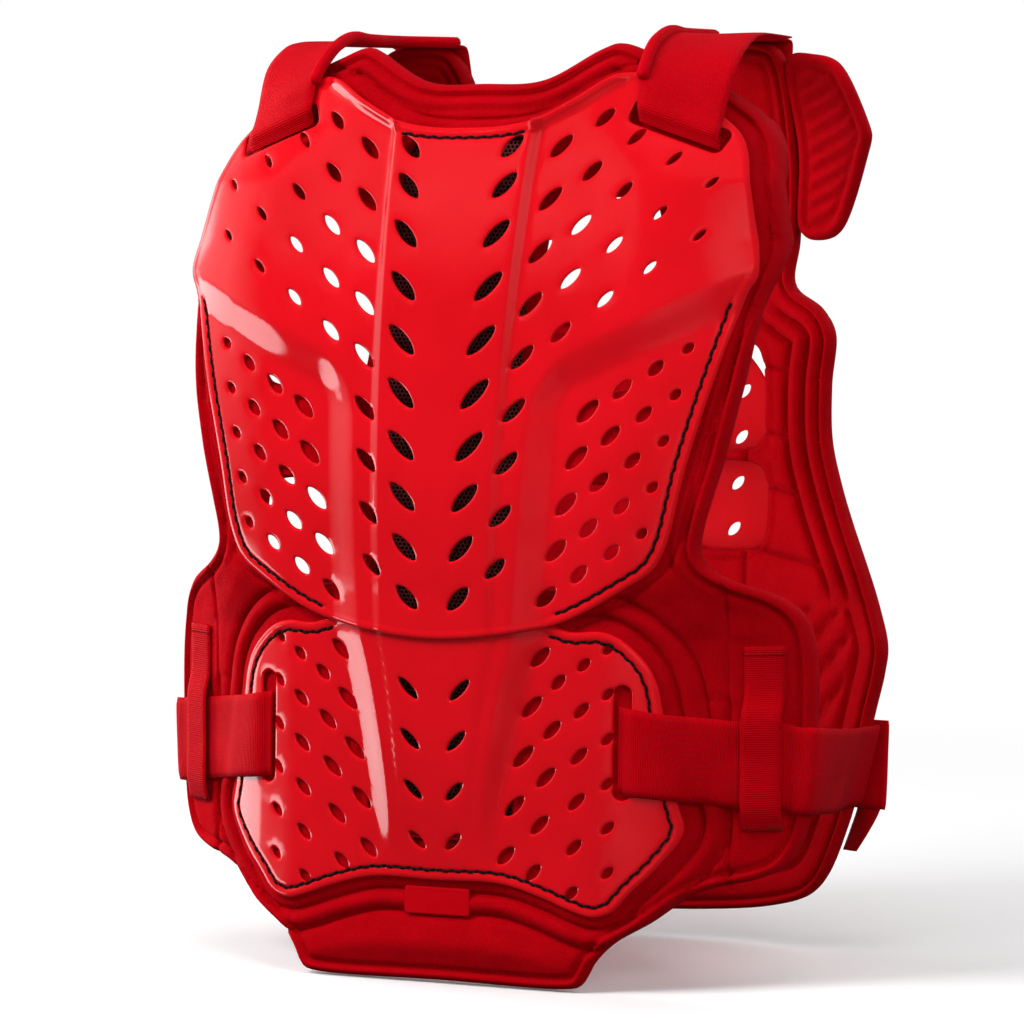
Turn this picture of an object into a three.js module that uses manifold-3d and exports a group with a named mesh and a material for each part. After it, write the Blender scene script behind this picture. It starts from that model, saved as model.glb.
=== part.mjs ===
// Roost deflector: a moulded, pierced chest guard on padded cloth panels, held open as when worn.
// Millimetres, +X to the viewer's right, the front faces -Y, +Z up.
// The origin lies midway between the undersides of the two shoulder straps.
import * as THREE from 'three';
import { mergeVertices } from 'three/addons/utils/BufferGeometryUtils.js';
import Module from 'manifold-3d';

const wasm = await Module();
wasm.setup();

// Overall sizes. Heights in the shape functions are counted up from the front hem.
const frontHeight = 545; // hem to the tips of the collar
const shoulderHeight = 549; // hem to the underside of the shoulder straps
const chestReach = 119; // shoulder line forward to the cloth's front at the waist
const backReach = 127; // shoulder line back to the inside of the back panel
const frontHalf = 206; // half width of the front panel at its side flaps
const waistHeight = 224; // height of the front-most line

// Front panel and its plates
const padThickness = 14; // padded cloth
const plateWall = 2.6; // moulded plate
const seatGap = 0.8; // between a plate and the padding behind it
const lapGap = 0.8; // between the two front plates where they lap
const collarLean = 43; // how far the front leans back from waist to collar corner
const collarCorner = 485; // height at which that lean is measured
const bellyLean = 8.4; // how far the hem stands forward of the waist
const upperHalf = 183; // half width of the chest plate
const upperHeight = 327;
const upperFoot = 200; // height of the chest plate's lower edge
const lowerHalf = 146; // half width of the belly plate
const lowerHeight = 164;
const lowerFoot = 43;
const chestRise = 6.5; // chest area above the sunk sides
const ridgeRise = 5; // centre strip above the chest area, at the collar
const ridgeFade = 0.25; // share of that rise left at the waist
const ridgeHalfTop = 43; // half width of the centre strip at the collar
const ridgeHalfFoot = 33; // and at the waist
const ridgeSlope = 5.5; // width of the strip's bevelled edge
const bandSlope = 20; // width of the step from the chest area to the sunk sides
const bandElbowAcross = 56; // elbow of that step, from the centre line
const bandElbowUp = 356;
const bandRise = 0.47; // slope of its outer arm
const bandDrift = 0.055; // slope of its lower arm
const bandRound = 26; // rounding of the elbow

// Pierced pattern
const lensTilt = 45; // degrees from level
const smallestCut = 13; // shorter lens holes are dimples here
const slotHeight = 66; // strap slot in the belly plate
const slotWidth = 10;
const slotAcross = 114;
const slotUp = 143.5;
const shoulderSlotWidth = 14;
const shoulderSlotLength = 58;

// Webbing and elastic
const strapWidth = 50;
const strapThickness = 2.2;
const keeperWidth = 20;
const keeperThickness = 1.6;
const keeperAcross = 184; // centre line of the sewn keeper
const keeperTop = 198;
const keeperFoot = 92;
const bandGap = 0.8; // between a strap and what it lies on
const shoulderSlotAcross = 129;
const shoulderSlotUp = 495.5;
const shoulderStrapTilt = -20; // degrees, the strap's width against level, at the chest
const strapTail = 52; // length of shoulder strap down the back panel
const waistDrop = 28; // fall of the waist strap from its slot to the back

// Back panel
const backPad = 16;
const backHalf = 198;
const backHeight = 534;
const backFoot = 14;
const backBulge = 300; // height of the rear-most line
const backPlateHalf = 118;
const backPlateHeight = 330;
const backPlateFoot = 46;
const backPlateWall = 2.6;
const wingThickness = 11;
const wingGap = 0.8;

const meshThickness = 1.4;
const labelWidth = 42;
const labelHeight = 16;
const labelThickness = 1.2;

const sewn = 0.4; // plain clearance between touching pieces

const tabWidth = 44; // hook tab over the waist strap's rear end
const tabHeight = 54;
const tabThickness = 3.2;
const tabPast = 11; // how far it stands past the back panel's side

const lapRampFoot = 16; // the padding's step behind the lap starts this far above it
const lapRamp = 30; // and takes this much height
const panelRow = 36; // facets of the padded panels
const panelColumn = 28;
const chestRow = 36; // facets of the chest plate
const bellyRow = 30; // facets of the belly plate
const plateColumn = 0.11; // width of both plates' facets, as a share of their side
const overlap = 3; // rough slabs reach this far past their outlines
const shoulderSteps = 26; // pieces along each band
const waistSteps = 30;
const keeperSteps = 12;
const tabSteps = 6;

// Plan form of the front, from hem to collar: a flat middle, then a bend on each side.
const frontForm = [
  { up: 0, flat: 0.385, bend: 0.56, turn: 34 },
  { up: 0.18, flat: 0.38, bend: 0.56, turn: 34 },
  { up: 0.37, flat: 0.39, bend: 0.6, turn: 35 },
  { up: 0.5, flat: 0.43, bend: 0.97, turn: 45 },
  { up: 0.62, flat: 0.45, bend: 1.16, turn: 48 },
  { up: 0.735, flat: 0.525, bend: 0.68, turn: 50 },
  { up: 0.79, flat: 0.573, bend: 0.44, turn: 58 },
  { up: 0.853, flat: 0.525, bend: 0.53, turn: 55 },
  { up: 0.917, flat: 0.34, bend: 0.73, turn: 50 },
  { up: 1, flat: 0.267, bend: 0.78, turn: 50 },
];

// Half outlines, as shares of each panel's half width and height, from the middle outwards.
const chestPlateEdge = [
  { across: 0, up: 0.896 },
  { across: 0.12, up: 0.901 },
  { across: 0.235, up: 0.917 },
  { across: 0.372, up: 0.957 },
  { across: 0.492, up: 0.997 },
  { across: 0.568, up: 1 },
  { across: 0.7, up: 0.969 },
  { across: 0.809, up: 0.927 },
  { across: 0.88, up: 0.893 },
  { across: 0.918, up: 0.856 },
  { across: 0.967, up: 0.752 },
  { across: 1, up: 0.645 },
  { across: 0.973, up: 0.612 },
  { across: 0.891, up: 0.453 },
  { across: 0.82, up: 0.309 },
  { across: 0.765, up: 0.177 },
  { across: 0.721, up: 0.131 },
  { across: 0.639, up: 0.098 },
  { across: 0.437, up: 0.037 },
  { across: 0.273, up: 0.015 },
  { across: 0, up: 0 },
];
const bellyPlateEdge = [
  { across: 0, up: 1.018 },
  { across: 0.425, up: 1.03 },
  { across: 0.568, up: 0.997 },
  { across: 0.692, up: 1 },
  { across: 0.767, up: 0.976 },
  { across: 0.863, up: 0.896 },
  { across: 0.904, up: 0.823 },
  { across: 0.925, up: 0.726 },
  { across: 0.979, up: 0.402 },
  { across: 1, up: 0.299 },
  { across: 0.918, up: 0.183 },
  { across: 0.815, up: 0.085 },
  { across: 0.747, up: 0.018 },
  { across: 0.671, up: 0 },
  { across: 0.589, up: 0.018 },
  { across: 0.452, up: 0.061 },
  { across: 0.281, up: 0.098 },
  { across: 0, up: 0.098 },
];
const frontEdge = [
  { across: 0, up: 0.958 },
  { across: 0.184, up: 0.961 },
  { across: 0.35, up: 0.994 },
  { across: 0.398, up: 1 },
  { across: 0.49, up: 0.989 },
  { across: 0.621, up: 0.969 },
  { across: 0.728, up: 0.943 },
  { across: 0.796, up: 0.923 },
  { across: 0.854, up: 0.894 },
  { across: 0.903, up: 0.818 },
  { across: 0.917, up: 0.771 },
  { across: 0.883, up: 0.712 },
  { across: 0.859, up: 0.642 },
  { across: 0.816, up: 0.565 },
  { across: 0.752, up: 0.47 },
  { across: 0.762, up: 0.453 },
  { across: 0.806, up: 0.437 },
  { across: 0.927, up: 0.413 },
  { across: 0.976, up: 0.391 },
  { across: 1, up: 0.35 },
  { across: 1, up: 0.253 },
  { across: 0.976, up: 0.158 },
  { across: 0.932, up: 0.128 },
  { across: 0.874, up: 0.117 },
  { across: 0.728, up: 0.103 },
  { across: 0.621, up: 0.073 },
  { across: 0.524, up: 0.05 },
  { across: 0.476, up: 0.031 },
  { across: 0.432, up: 0.004 },
  { across: 0.388, up: 0 },
  { across: 0, up: 0 },
];
const backEdge = [
  { across: 0, up: 0.691 },
  { across: 0.212, up: 0.695 },
  { across: 0.303, up: 0.717 },
  { across: 0.343, up: 0.779 },
  { across: 0.374, up: 0.891 },
  { across: 0.414, up: 0.976 },
  { across: 0.465, up: 1 },
  { across: 0.636, up: 1 },
  { across: 0.677, up: 0.985 },
  { across: 0.697, up: 0.88 },
  { across: 0.667, up: 0.779 },
  { across: 0.641, up: 0.728 },
  { across: 0.737, up: 0.702 },
  { across: 0.783, up: 0.674 },
  { across: 0.763, up: 0.614 },
  { across: 0.763, up: 0.551 },
  { across: 0.798, up: 0.502 },
  { across: 0.843, up: 0.459 },
  { across: 0.96, up: 0.365 },
  { across: 1, up: 0.32 },
  { across: 0.99, up: 0.29 },
  { across: 0.955, up: 0.243 },
  { across: 0.864, up: 0.112 },
  { across: 0.763, up: 0.039 },
  { across: 0.606, up: 0.015 },
  { across: 0, up: 0 },
];
const backPlateEdge = [
  { across: 0, up: 0.985 },
  { across: 0.36, up: 1 },
  { across: 0.62, up: 0.985 },
  { across: 0.85, up: 0.9 },
  { across: 0.94, up: 0.75 },
  { across: 0.9, up: 0.5 },
  { across: 1, up: 0.2 },
  { across: 0.9, up: 0.05 },
  { across: 0.7, up: 0 },
  { across: 0, up: 0.03 },
];
// The shoulder wing, on the same shares as the back panel's own outline.
const wingEdge = [
  { across: 0.697, up: 0.88 },
  { across: 0.667, up: 0.781 },
  { across: 0.818, up: 0.781 },
  { across: 0.975, up: 0.886 },
  { across: 0.985, up: 0.901 },
  { across: 0.899, up: 0.974 },
  { across: 0.828, up: 0.987 },
  { across: 0.677, up: 0.989 },
];

// Openings in the padding, as shares of the panel's half width and height.
const frontWindows = [
  { inner: 0.27, outer: 0.6, foot: 0.635, top: 0.83, innerFoot: 0.27 },
  { inner: 0.28, outer: 0.57, foot: 0.425, top: 0.53, innerFoot: 0.24 },
];
const backWindows = [
  { inner: 0.24, outer: 0.52, foot: 0.54, top: 0.66, innerFoot: 0.24 },
  { inner: 0.24, outer: 0.53, foot: 0.425, top: 0.52, innerFoot: 0.24 },
];
const meshColumn = { half: 0.22, foot: 0.15, top: 0.9 };

// Columns of lens holes in each plate, as shares of its half width and height.
// crowd draws a column's upper holes together.
const chestHoles = [
  { count: 10, acrossTop: 0.179, acrossFoot: 0.089, top: 0.871, foot: 0.073,
    crowd: 0.275, longTop: 0.053, longMid: 0.072, longFoot: 0.056, wide: 0.023 },
  { count: 9, acrossTop: 0.338, acrossFoot: 0.216, top: 0.87, foot: 0.128,
    crowd: 0, longTop: 0.053, longMid: 0.057, longFoot: 0.048, wide: 0.019 },
  { count: 5, acrossTop: 0.473, acrossFoot: 0.404, top: 0.92, foot: 0.543,
    crowd: 0, longTop: 0.042, longMid: 0.048, longFoot: 0.048, wide: 0.017 },
  { count: 4, acrossTop: 0.587, acrossFoot: 0.546, top: 0.886, foot: 0.602,
    crowd: 0, longTop: 0.038, longMid: 0.039, longFoot: 0.039, wide: 0.014 },
  { count: 3, acrossTop: 0.717, acrossFoot: 0.686, top: 0.847, foot: 0.657,
    crowd: 0, longTop: 0.03, longMid: 0.031, longFoot: 0.03, wide: 0.011 },
  { count: 2, acrossTop: 0.844, acrossFoot: 0.83, top: 0.805, foot: 0.713,
    crowd: 0, longTop: 0.025, longMid: 0.025, longFoot: 0.025, wide: 0.009 },
  { count: 5, acrossTop: 0.499, acrossFoot: 0.377, top: 0.406, foot: 0.08,
    crowd: 0, longTop: 0.053, longMid: 0.053, longFoot: 0.047, wide: 0.021 },
  { count: 5, acrossTop: 0.611, acrossFoot: 0.487, top: 0.445, foot: 0.121,
    crowd: 0, longTop: 0.044, longMid: 0.044, longFoot: 0.04, wide: 0.019 },
  { count: 5, acrossTop: 0.716, acrossFoot: 0.595, top: 0.482, foot: 0.161,
    crowd: 0, longTop: 0.034, longMid: 0.035, longFoot: 0.034, wide: 0.017 },
  { count: 5, acrossTop: 0.812, acrossFoot: 0.691, top: 0.517, foot: 0.195,
    crowd: 0, longTop: 0.022, longMid: 0.023, longFoot: 0.022, wide: 0.014 },
];
const bellyHoles = [
  { count: 4, acrossTop: 0.113, acrossFoot: 0.078, top: 0.78, foot: 0.24,
    crowd: 0, longTop: 0.103, longMid: 0.094, longFoot: 0.08, wide: 0.031 },
  { count: 5, acrossTop: 0.44, acrossFoot: 0.303, top: 0.904, foot: 0.2,
    crowd: 0, longTop: 0.091, longMid: 0.103, longFoot: 0.085, wide: 0.037 },
  { count: 5, acrossTop: 0.519, acrossFoot: 0.423, top: 0.818, foot: 0.147,
    crowd: 0, longTop: 0.068, longMid: 0.094, longFoot: 0.074, wide: 0.034 },
  { count: 6, acrossTop: 0.626, acrossFoot: 0.589, top: 0.882, foot: 0.083,
    crowd: 0, longTop: 0.057, longMid: 0.08, longFoot: 0.057, wide: 0.031 },
  { count: 6, acrossTop: 0.722, acrossFoot: 0.732, top: 0.938, foot: 0.158,
    crowd: 0, longTop: 0.043, longMid: 0.057, longFoot: 0.051, wide: 0.027 },
];
const backHoles = [
  { count: 4, acrossTop: 0.44, acrossFoot: 0.4, top: 0.88, foot: 0.62,
    crowd: 0, longTop: 0.048, longMid: 0.054, longFoot: 0.048, wide: 0.021 },
  { count: 4, acrossTop: 0.72, acrossFoot: 0.66, top: 0.88, foot: 0.62,
    crowd: 0, longTop: 0.034, longMid: 0.034, longFoot: 0.034, wide: 0.017 },
];

// Colours and finishes
const gloss = new THREE.MeshStandardMaterial({ color: 0xd00a14, roughness: 0.22, metalness: 0 });
const cloth = new THREE.MeshStandardMaterial({ color: 0xa1040c, roughness: 0.85, metalness: 0 });
const webbing = new THREE.MeshStandardMaterial({ color: 0xa8060f, roughness: 0.7, metalness: 0 });
const net = new THREE.MeshStandardMaterial({ color: 0x1c0505, roughness: 0.9, metalness: 0 });

// Small helpers
const radians = Math.PI / 180;
const clamp = (v) => Math.min(1, Math.max(0, v));
const mix = (a, b, t) => a + (b - a) * t;
const ease = (t) => clamp(t) * clamp(t) * (3 - 2 * clamp(t));

// Value of one named column of a table, straight between its rows.
function along(table, key, t) {
  let i = 1;
  while (i < table.length - 1 && table[i].up < t) {
    i += 1;
  }
  const a = table[i - 1];
  const b = table[i];
  return mix(a[key], b[key], clamp((t - a.up) / (b.up - a.up)));
}

// Depth of a bend: flat to half width flat, an arc of radius bend, then straight on.
function bendDepth(x, flat, bend, turn) {
  const past = Math.max(0, Math.abs(x) - flat);
  const reach = bend * Math.sin(turn);
  if (past <= reach) {
    return bend - Math.sqrt(bend * bend - past * past);
  }
  return bend * (1 - Math.cos(turn)) + (past - reach) * Math.tan(turn);
}

// Front form: the plane that the sunk sides of the plates lie on.
function frontForward(x, h) {
  const t = clamp(h / frontHeight);
  const flat = along(frontForm, 'flat', t) * frontHalf;
  const bend = along(frontForm, 'bend', t) * frontHalf;
  const turn = along(frontForm, 'turn', t) * radians;
  const above = Math.max(0, h - waistHeight) / (collarCorner - waistHeight);
  const below = Math.max(0, waistHeight - h) / waistHeight;
  const lean = collarLean * above * above - bellyLean * below;
  return -chestReach + lean + bendDepth(x, flat, bend, turn);
}

// Back form: the inside face of the back panel.
function backInside(x, h) {
  const above = Math.max(0, h - backBulge) / (shoulderHeight - backBulge);
  const below = Math.max(0, backBulge - h) / backBulge;
  const lean = backReach * (0.37 * above * above + 0.2 * below * below);
  return backReach - lean - bendDepth(x, backHalf * 0.354, backHalf * 1.086, Math.PI / 3);
}

// How far the moulded plates stand forward of that plane.
function ridgeHalf(h) {
  const t = (h - upperFoot) / (collarCorner - upperFoot);
  return mix(ridgeHalfFoot, ridgeHalfTop, t);
}
function plateRise(x, h) {
  const side = Math.abs(x);
  const t = clamp((h - upperFoot) / (collarCorner - upperFoot));
  const strip = 1 - ease((side - ridgeHalf(h)) / ridgeSlope);
  const ridge = ridgeRise * mix(ridgeFade, 1, t) * strip;
  const right = side - bandElbowAcross - bandDrift * (h - bandElbowUp);
  const under = (bandElbowUp - h + bandRise * (side - bandElbowAcross)) / Math.hypot(1, bandRise);
  const corner = Math.hypot(Math.max(0, bandRound - right), Math.max(0, bandRound - under));
  const inside = Math.min(right, under) > bandRound ? Math.min(right, under) : bandRound - corner;
  const chest = chestRise * (1 - ease(inside / bandSlope));
  return chest + ridge;
}
// The belly plate carries the same step down to points near its foot.
function bellyRise(x, h) {
  const t = clamp((h - lowerFoot) / (upperFoot - lowerFoot));
  return plateRise(x * mix(2, 1, t), Math.max(h, upperFoot)) * ease(t * 1.5);
}

// Thickness measured straight back, so that the wall is even across a bend.
function wallDepth(form, x, h, wall) {
  const slope = (form(x + 1, h) - form(x - 1, h)) / 2;
  const fall = (form(x, h + 1) - form(x, h - 1)) / 2;
  return wall * Math.hypot(1, slope, fall);
}

// Faces of the stack, front to back
const chestFront = (x, h) => frontForward(x, h) - plateRise(x, h);
const chestBack = (x, h) => chestFront(x, h) + wallDepth(frontForward, x, h, plateWall);
const lapDrop = plateWall + lapGap;
const bellyFront = (x, h) => frontForward(x, h) + lapDrop - bellyRise(x, h);
const bellyBack = (x, h) => bellyFront(x, h) + wallDepth(frontForward, x, h, plateWall);
const lapShare = (h) => 1 - ease((h - upperFoot - lapRampFoot) / lapRamp);
const padStart = (h) => plateWall + seatGap + lapDrop * lapShare(h);
const padFront = (x, h) => frontForward(x, h) + wallDepth(frontForward, x, h, padStart(h));
const padBack = (x, h) => padFront(x, h) + wallDepth(frontForward, x, h, padThickness);
const backOutside = (x, h) => backInside(x, h) + wallDepth(backInside, x, h, backPad);
const rearFront = (x, h) => backInside(x, h) + wallDepth(backInside, x, h, backPad + seatGap);
const rearBack = (x, h) => rearFront(x, h) + wallDepth(backInside, x, h, backPlateWall);

// Solids
function solidFrom(geometry) {
  geometry.deleteAttribute('normal');
  geometry.deleteAttribute('uv');
  const merged = mergeVertices(geometry, 1e-4);
  const vertProperties = new Float32Array(merged.attributes.position.array);
  const triVerts = new Uint32Array(merged.index.array);
  return new wasm.Manifold(new wasm.Mesh({ numProp: 3, vertProperties, triVerts }));
}
function geometryFrom(solid) {
  const mesh = solid.getMesh();
  const geometry = new THREE.BufferGeometry();
  geometry.setAttribute('position', new THREE.BufferAttribute(mesh.vertProperties, 3));
  geometry.setIndex(new THREE.BufferAttribute(mesh.triVerts, 1));
  geometry.computeVertexNormals();
  return geometry;
}

// Closed slab between two point grids of the same size.
function slab(near, far) {
  const rows = near.length;
  const columns = near[0].length;
  const positions = [];
  const quad = (a, b, c, d) => positions.push(...a, ...b, ...c, ...a, ...c, ...d);
  for (let i = 0; i < rows - 1; i += 1) {
    for (let j = 0; j < columns - 1; j += 1) {
      quad(near[i][j], near[i][j + 1], near[i + 1][j + 1], near[i + 1][j]);
      quad(far[i][j], far[i + 1][j], far[i + 1][j + 1], far[i][j + 1]);
    }
  }
  for (let i = 0; i < rows - 1; i += 1) {
    const e = columns - 1;
    quad(near[i][0], near[i + 1][0], far[i + 1][0], far[i][0]);
    quad(near[i][e], far[i][e], far[i + 1][e], near[i + 1][e]);
  }
  for (let j = 0; j < columns - 1; j += 1) {
    const e = rows - 1;
    quad(near[0][j], far[0][j], far[0][j + 1], near[0][j + 1]);
    quad(near[e][j], near[e][j + 1], far[e][j + 1], far[e][j]);
  }
  const geometry = new THREE.BufferGeometry();
  geometry.setAttribute('position', new THREE.Float32BufferAttribute(positions, 3));
  return geometry;
}

// Lines of a grid: even steps no longer than step from low to high.
function lines(low, high, step) {
  const count = Math.ceil((high - low) / step);
  return Array.from({ length: count + 1 }, (_, i) => mix(low, high, i / count));
}

// Panel: slab between two depth functions over rows of heights and columns of widths.
function panelSlab(rows, columns, front, back) {
  const near = rows.map((h) => columns(h).map((x) => [x, front(x, h), h - shoulderHeight]));
  const far = rows.map((h) => columns(h).map((x) => [x, back(x, h), h - shoulderHeight]));
  return solidFrom(slab(near, far));
}

// Prism through the depth of the object, from an outline seen from the front.
const prismReach = 500;
function prism(points) {
  const shape = new THREE.Shape(points.map((p) => new THREE.Vector2(p.x, p.h - shoulderHeight)));
  const options = { depth: 2 * prismReach, bevelEnabled: false };
  const geometry = new THREE.ExtrudeGeometry(shape, options);
  geometry.rotateX(Math.PI / 2);
  geometry.translate(0, prismReach, 0);
  return solidFrom(geometry);
}

// Whole outline from a half table.
function outline(table, half, height, foot) {
  const right = table.map((row) => ({ x: row.across * half, h: foot + row.up * height }));
  const left = right.slice(1, -1).reverse().map((p) => ({ x: -p.x, h: p.h }));
  return right.concat(left);
}

// Outermost point of a half outline at one height.
function edgeAcross(table, half, height, foot, h) {
  let widest = 0;
  for (let i = 1; i < table.length; i += 1) {
    const a = table[i - 1];
    const b = table[i];
    const t = ((h - foot) / height - a.up) / (b.up - a.up);
    if (t >= 0 && t <= 1) {
      widest = Math.max(widest, mix(a.across, b.across, t) * half);
    }
  }
  return widest;
}

// Lens hole: two tips and two points on each long side.
function lens(x, h, long, wide, side) {
  const angle = side * lensTilt * radians;
  const profile = [
    [-0.5, 0], [-0.2, -0.42], [0.2, -0.42], [0.5, 0], [0.2, 0.42], [-0.2, 0.42],
  ];
  return profile.map(([a, b]) => ({
    x: x + a * long * Math.cos(angle) - b * wide * Math.sin(angle),
    h: h + a * long * Math.sin(angle) + b * wide * Math.cos(angle),
  }));
}

// All the lens holes of a plate that are long enough to cut here.
function lensHoles(table, half, height, foot) {
  const found = [];
  for (const column of table) {
    for (let i = 0; i < column.count; i += 1) {
      const t = i / (column.count - 1);
      const bow = 4 * t * (1 - t);
      const chord = mix(column.longTop, column.longFoot, t);
      const middle = (column.longTop + column.longFoot) / 2;
      const long = (chord + (column.longMid - middle) * bow) * height;
      const wide = column.wide * height;
      const x = mix(column.acrossTop, column.acrossFoot, t) * half;
      const shift = column.crowd * t * (1 - t) ** 4;
      const h = foot + (mix(column.top, column.foot, t) + shift) * height;
      if (long >= smallestCut) {
        found.push(lens(x, h, long, wide, 1), lens(-x, h, long, wide, -1));
      }
    }
  }
  return found;
}

// Slot with cut corners, turned by angle.
function slot(x, h, width, height, angle) {
  const c = Math.min(width, height) * 0.3;
  const w = width / 2;
  const k = height / 2;
  const corners = [
    [-w, -k + c], [-w + c, -k], [w - c, -k], [w, -k + c],
    [w, k - c], [w - c, k], [-w + c, k], [-w, k - c],
  ];
  return corners.map(([a, b]) => ({
    x: x + a * Math.cos(angle) - b * Math.sin(angle),
    h: h + a * Math.sin(angle) + b * Math.cos(angle),
  }));
}
function cutAll(solid, outlines) {
  let result = solid;
  for (const points of outlines) {
    result = result.subtract(prism(points));
  }
  return result;
}

// Window in a padded panel, with cut corners.
function windowOutline(row, half, height, foot, side) {
  const cut = 0.05 * half;
  const low = foot + row.foot * height;
  const high = foot + row.top * height;
  const inner = row.inner * half;
  const innerFoot = row.innerFoot * half;
  const outer = row.outer * half;
  const corners = [
    [innerFoot + cut, low], [outer - cut, low], [outer, low + cut], [outer, high - cut],
    [outer - cut, high], [inner + cut, high], [inner, high - cut], [innerFoot, low + cut],
  ];
  return corners.map(([x, h]) => ({ x: side * x, h }));
}

const group = new THREE.Group();
function addSolid(name, solid, material) {
  const mesh = new THREE.Mesh(geometryFrom(solid), material);
  mesh.name = name;
  group.add(mesh);
}

// Both halves of a list of column lines.
function mirrored(list) {
  return list.slice(1).reverse().map((x) => -x).concat(list);
}

// Band of webbing: stations along it, each a row of points across it, joined by smooth curves.
function band(stations, thickness, steps) {
  const curves = stations[0].map((_, u) => {
    const points = stations.map((row) => new THREE.Vector3(...row[u]));
    return new THREE.CatmullRomCurve3(points, false, 'centripetal');
  });
  const grid = [];
  for (let i = 0; i <= steps; i += 1) {
    grid.push(curves.map((curve) => curve.getPoint(i / steps)));
  }
  const shifted = (distance) => grid.map((row, i) => row.map((point, j) => {
    const next = grid[Math.min(i + 1, steps)][j];
    const last = grid[Math.max(i - 1, 0)][j];
    const run = new THREE.Vector3().subVectors(next, last);
    const right = row[Math.min(j + 1, row.length - 1)];
    const left = row[Math.max(j - 1, 0)];
    const across = new THREE.Vector3().subVectors(right, left);
    const normal = across.cross(run).normalize();
    const moved = point.clone().addScaledVector(normal, distance);
    return [moved.x, moved.y, moved.z - shoulderHeight];
  }));
  return solidFrom(slab(shifted(thickness / 2), shifted(-thickness / 2)));
}
function mirroredStations(stations) {
  return stations.map((row) => row.map(([x, y, h]) => [-x, y, h]).reverse());
}

// Column lines shared by the two plates where they lap.
const plateShares = lines(0, 1, plateColumn);
function plateColumns(h) {
  const bevelled = ridgeHalf(Math.max(h, upperFoot)) + ridgeSlope;
  const outer = plateShares.map((t) => mix(bevelled, upperHalf + overlap, t));
  return [0, ridgeHalf(Math.max(h, upperFoot)), ...outer];
}

// Chest plate
function chestPlate() {
  const rows = lines(upperFoot - overlap, upperFoot + upperHeight + overlap, chestRow);
  const columns = (h) => mirrored(plateColumns(h));
  const edge = prism(outline(chestPlateEdge, upperHalf, upperHeight, upperFoot));
  const sheet = panelSlab(rows, columns, chestFront, chestBack).intersect(edge);
  const cuts = lensHoles(chestHoles, upperHalf, upperHeight, upperFoot);
  for (const side of [-1, 1]) {
    const angle = side * shoulderStrapTilt * radians;
    const x = side * shoulderSlotAcross;
    cuts.push(slot(x, shoulderSlotUp, shoulderSlotLength, shoulderSlotWidth, angle));
  }
  return cutAll(sheet, cuts);
}

// Belly plate
function bellyPlate() {
  const top = Math.max(...bellyPlateEdge.map((row) => row.up));
  const rows = lines(lowerFoot - overlap, lowerFoot + lowerHeight * top + overlap, bellyRow);
  const inner = plateColumns(upperFoot).filter((x) => x < lowerHalf - overlap);
  const columns = () => mirrored([...inner, lowerHalf + overlap]);
  const edge = prism(outline(bellyPlateEdge, lowerHalf, lowerHeight, lowerFoot));
  const sheet = panelSlab(rows, columns, bellyFront, bellyBack).intersect(edge);
  const cuts = lensHoles(bellyHoles, lowerHalf, lowerHeight, lowerFoot);
  for (const side of [-1, 1]) {
    cuts.push(slot(side * slotAcross, slotUp, slotWidth, slotHeight, 0));
  }
  return cutAll(sheet, cuts);
}

// Opening down the middle of the front padding, and the net that fills it.
function columnOutline(inset) {
  const middle = ((meshColumn.foot + meshColumn.top) / 2) * frontHeight;
  const tall = (meshColumn.top - meshColumn.foot) * frontHeight;
  const wide = 2 * meshColumn.half * frontHalf;
  return slot(0, middle, wide - 2 * inset, tall - 2 * inset, 0);
}
function windowOutlines(table, half, height, foot) {
  return [-1, 1].flatMap((side) => table.map((row) => windowOutline(row, half, height, foot, side)));
}

// Front padded panel
function frontPanel() {
  const rows = lines(-overlap, frontHeight + overlap, panelRow);
  const columns = () => mirrored(lines(0, frontHalf + overlap, panelColumn));
  const edge = prism(outline(frontEdge, frontHalf, frontHeight, 0));
  const sheet = panelSlab(rows, columns, padFront, padBack).intersect(edge);
  const windows = windowOutlines(frontWindows, frontHalf, frontHeight, 0);
  return cutAll(sheet, [...windows, columnOutline(0)]);
}
function frontNet() {
  const foot = meshColumn.foot * frontHeight;
  const top = meshColumn.top * frontHeight;
  const rows = lines(foot - overlap, top + overlap, panelRow);
  const wide = meshColumn.half * frontHalf + overlap;
  const columns = () => [-wide, 0, wide];
  const start = (x, h) => padFront(x, h) + padThickness / 2;
  const end = (x, h) => start(x, h) + meshThickness;
  return panelSlab(rows, columns, start, end).intersect(prism(columnOutline(sewn)));
}

// Blank woven label on the hem, under the belly plate
function hemLabel() {
  const middle = lowerFoot + bellyPlateEdge[bellyPlateEdge.length - 1].up * lowerHeight;
  const top = middle - seatGap - lapDrop;
  const rows = [top - labelHeight, top];
  const columns = () => [-labelWidth / 2, labelWidth / 2];
  const end = (x, h) => padFront(x, h) - sewn;
  const start = (x, h) => end(x, h) - labelThickness;
  return panelSlab(rows, columns, start, end);
}

// Back padded panel with its notch, yokes and windows
function backPanel() {
  const rows = lines(backFoot - overlap, backFoot + backHeight + overlap, panelRow);
  const columns = () => mirrored(lines(0, backHalf + overlap, panelColumn));
  const edge = prism(outline(backEdge, backHalf, backHeight, backFoot));
  const sheet = panelSlab(rows, columns, backInside, backOutside).intersect(edge);
  return cutAll(sheet, windowOutlines(backWindows, backHalf, backHeight, backFoot));
}
function backPlate() {
  const top = backPlateFoot + backPlateHeight;
  const rows = lines(backPlateFoot - overlap, top + overlap, panelRow);
  const columns = () => mirrored(lines(0, backPlateHalf + overlap, panelColumn));
  const edge = prism(outline(backPlateEdge, backPlateHalf, backPlateHeight, backPlateFoot));
  const sheet = panelSlab(rows, columns, rearFront, rearBack).intersect(edge);
  return cutAll(sheet, lensHoles(backHoles, backPlateHalf, backPlateHeight, backPlateFoot));
}

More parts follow.
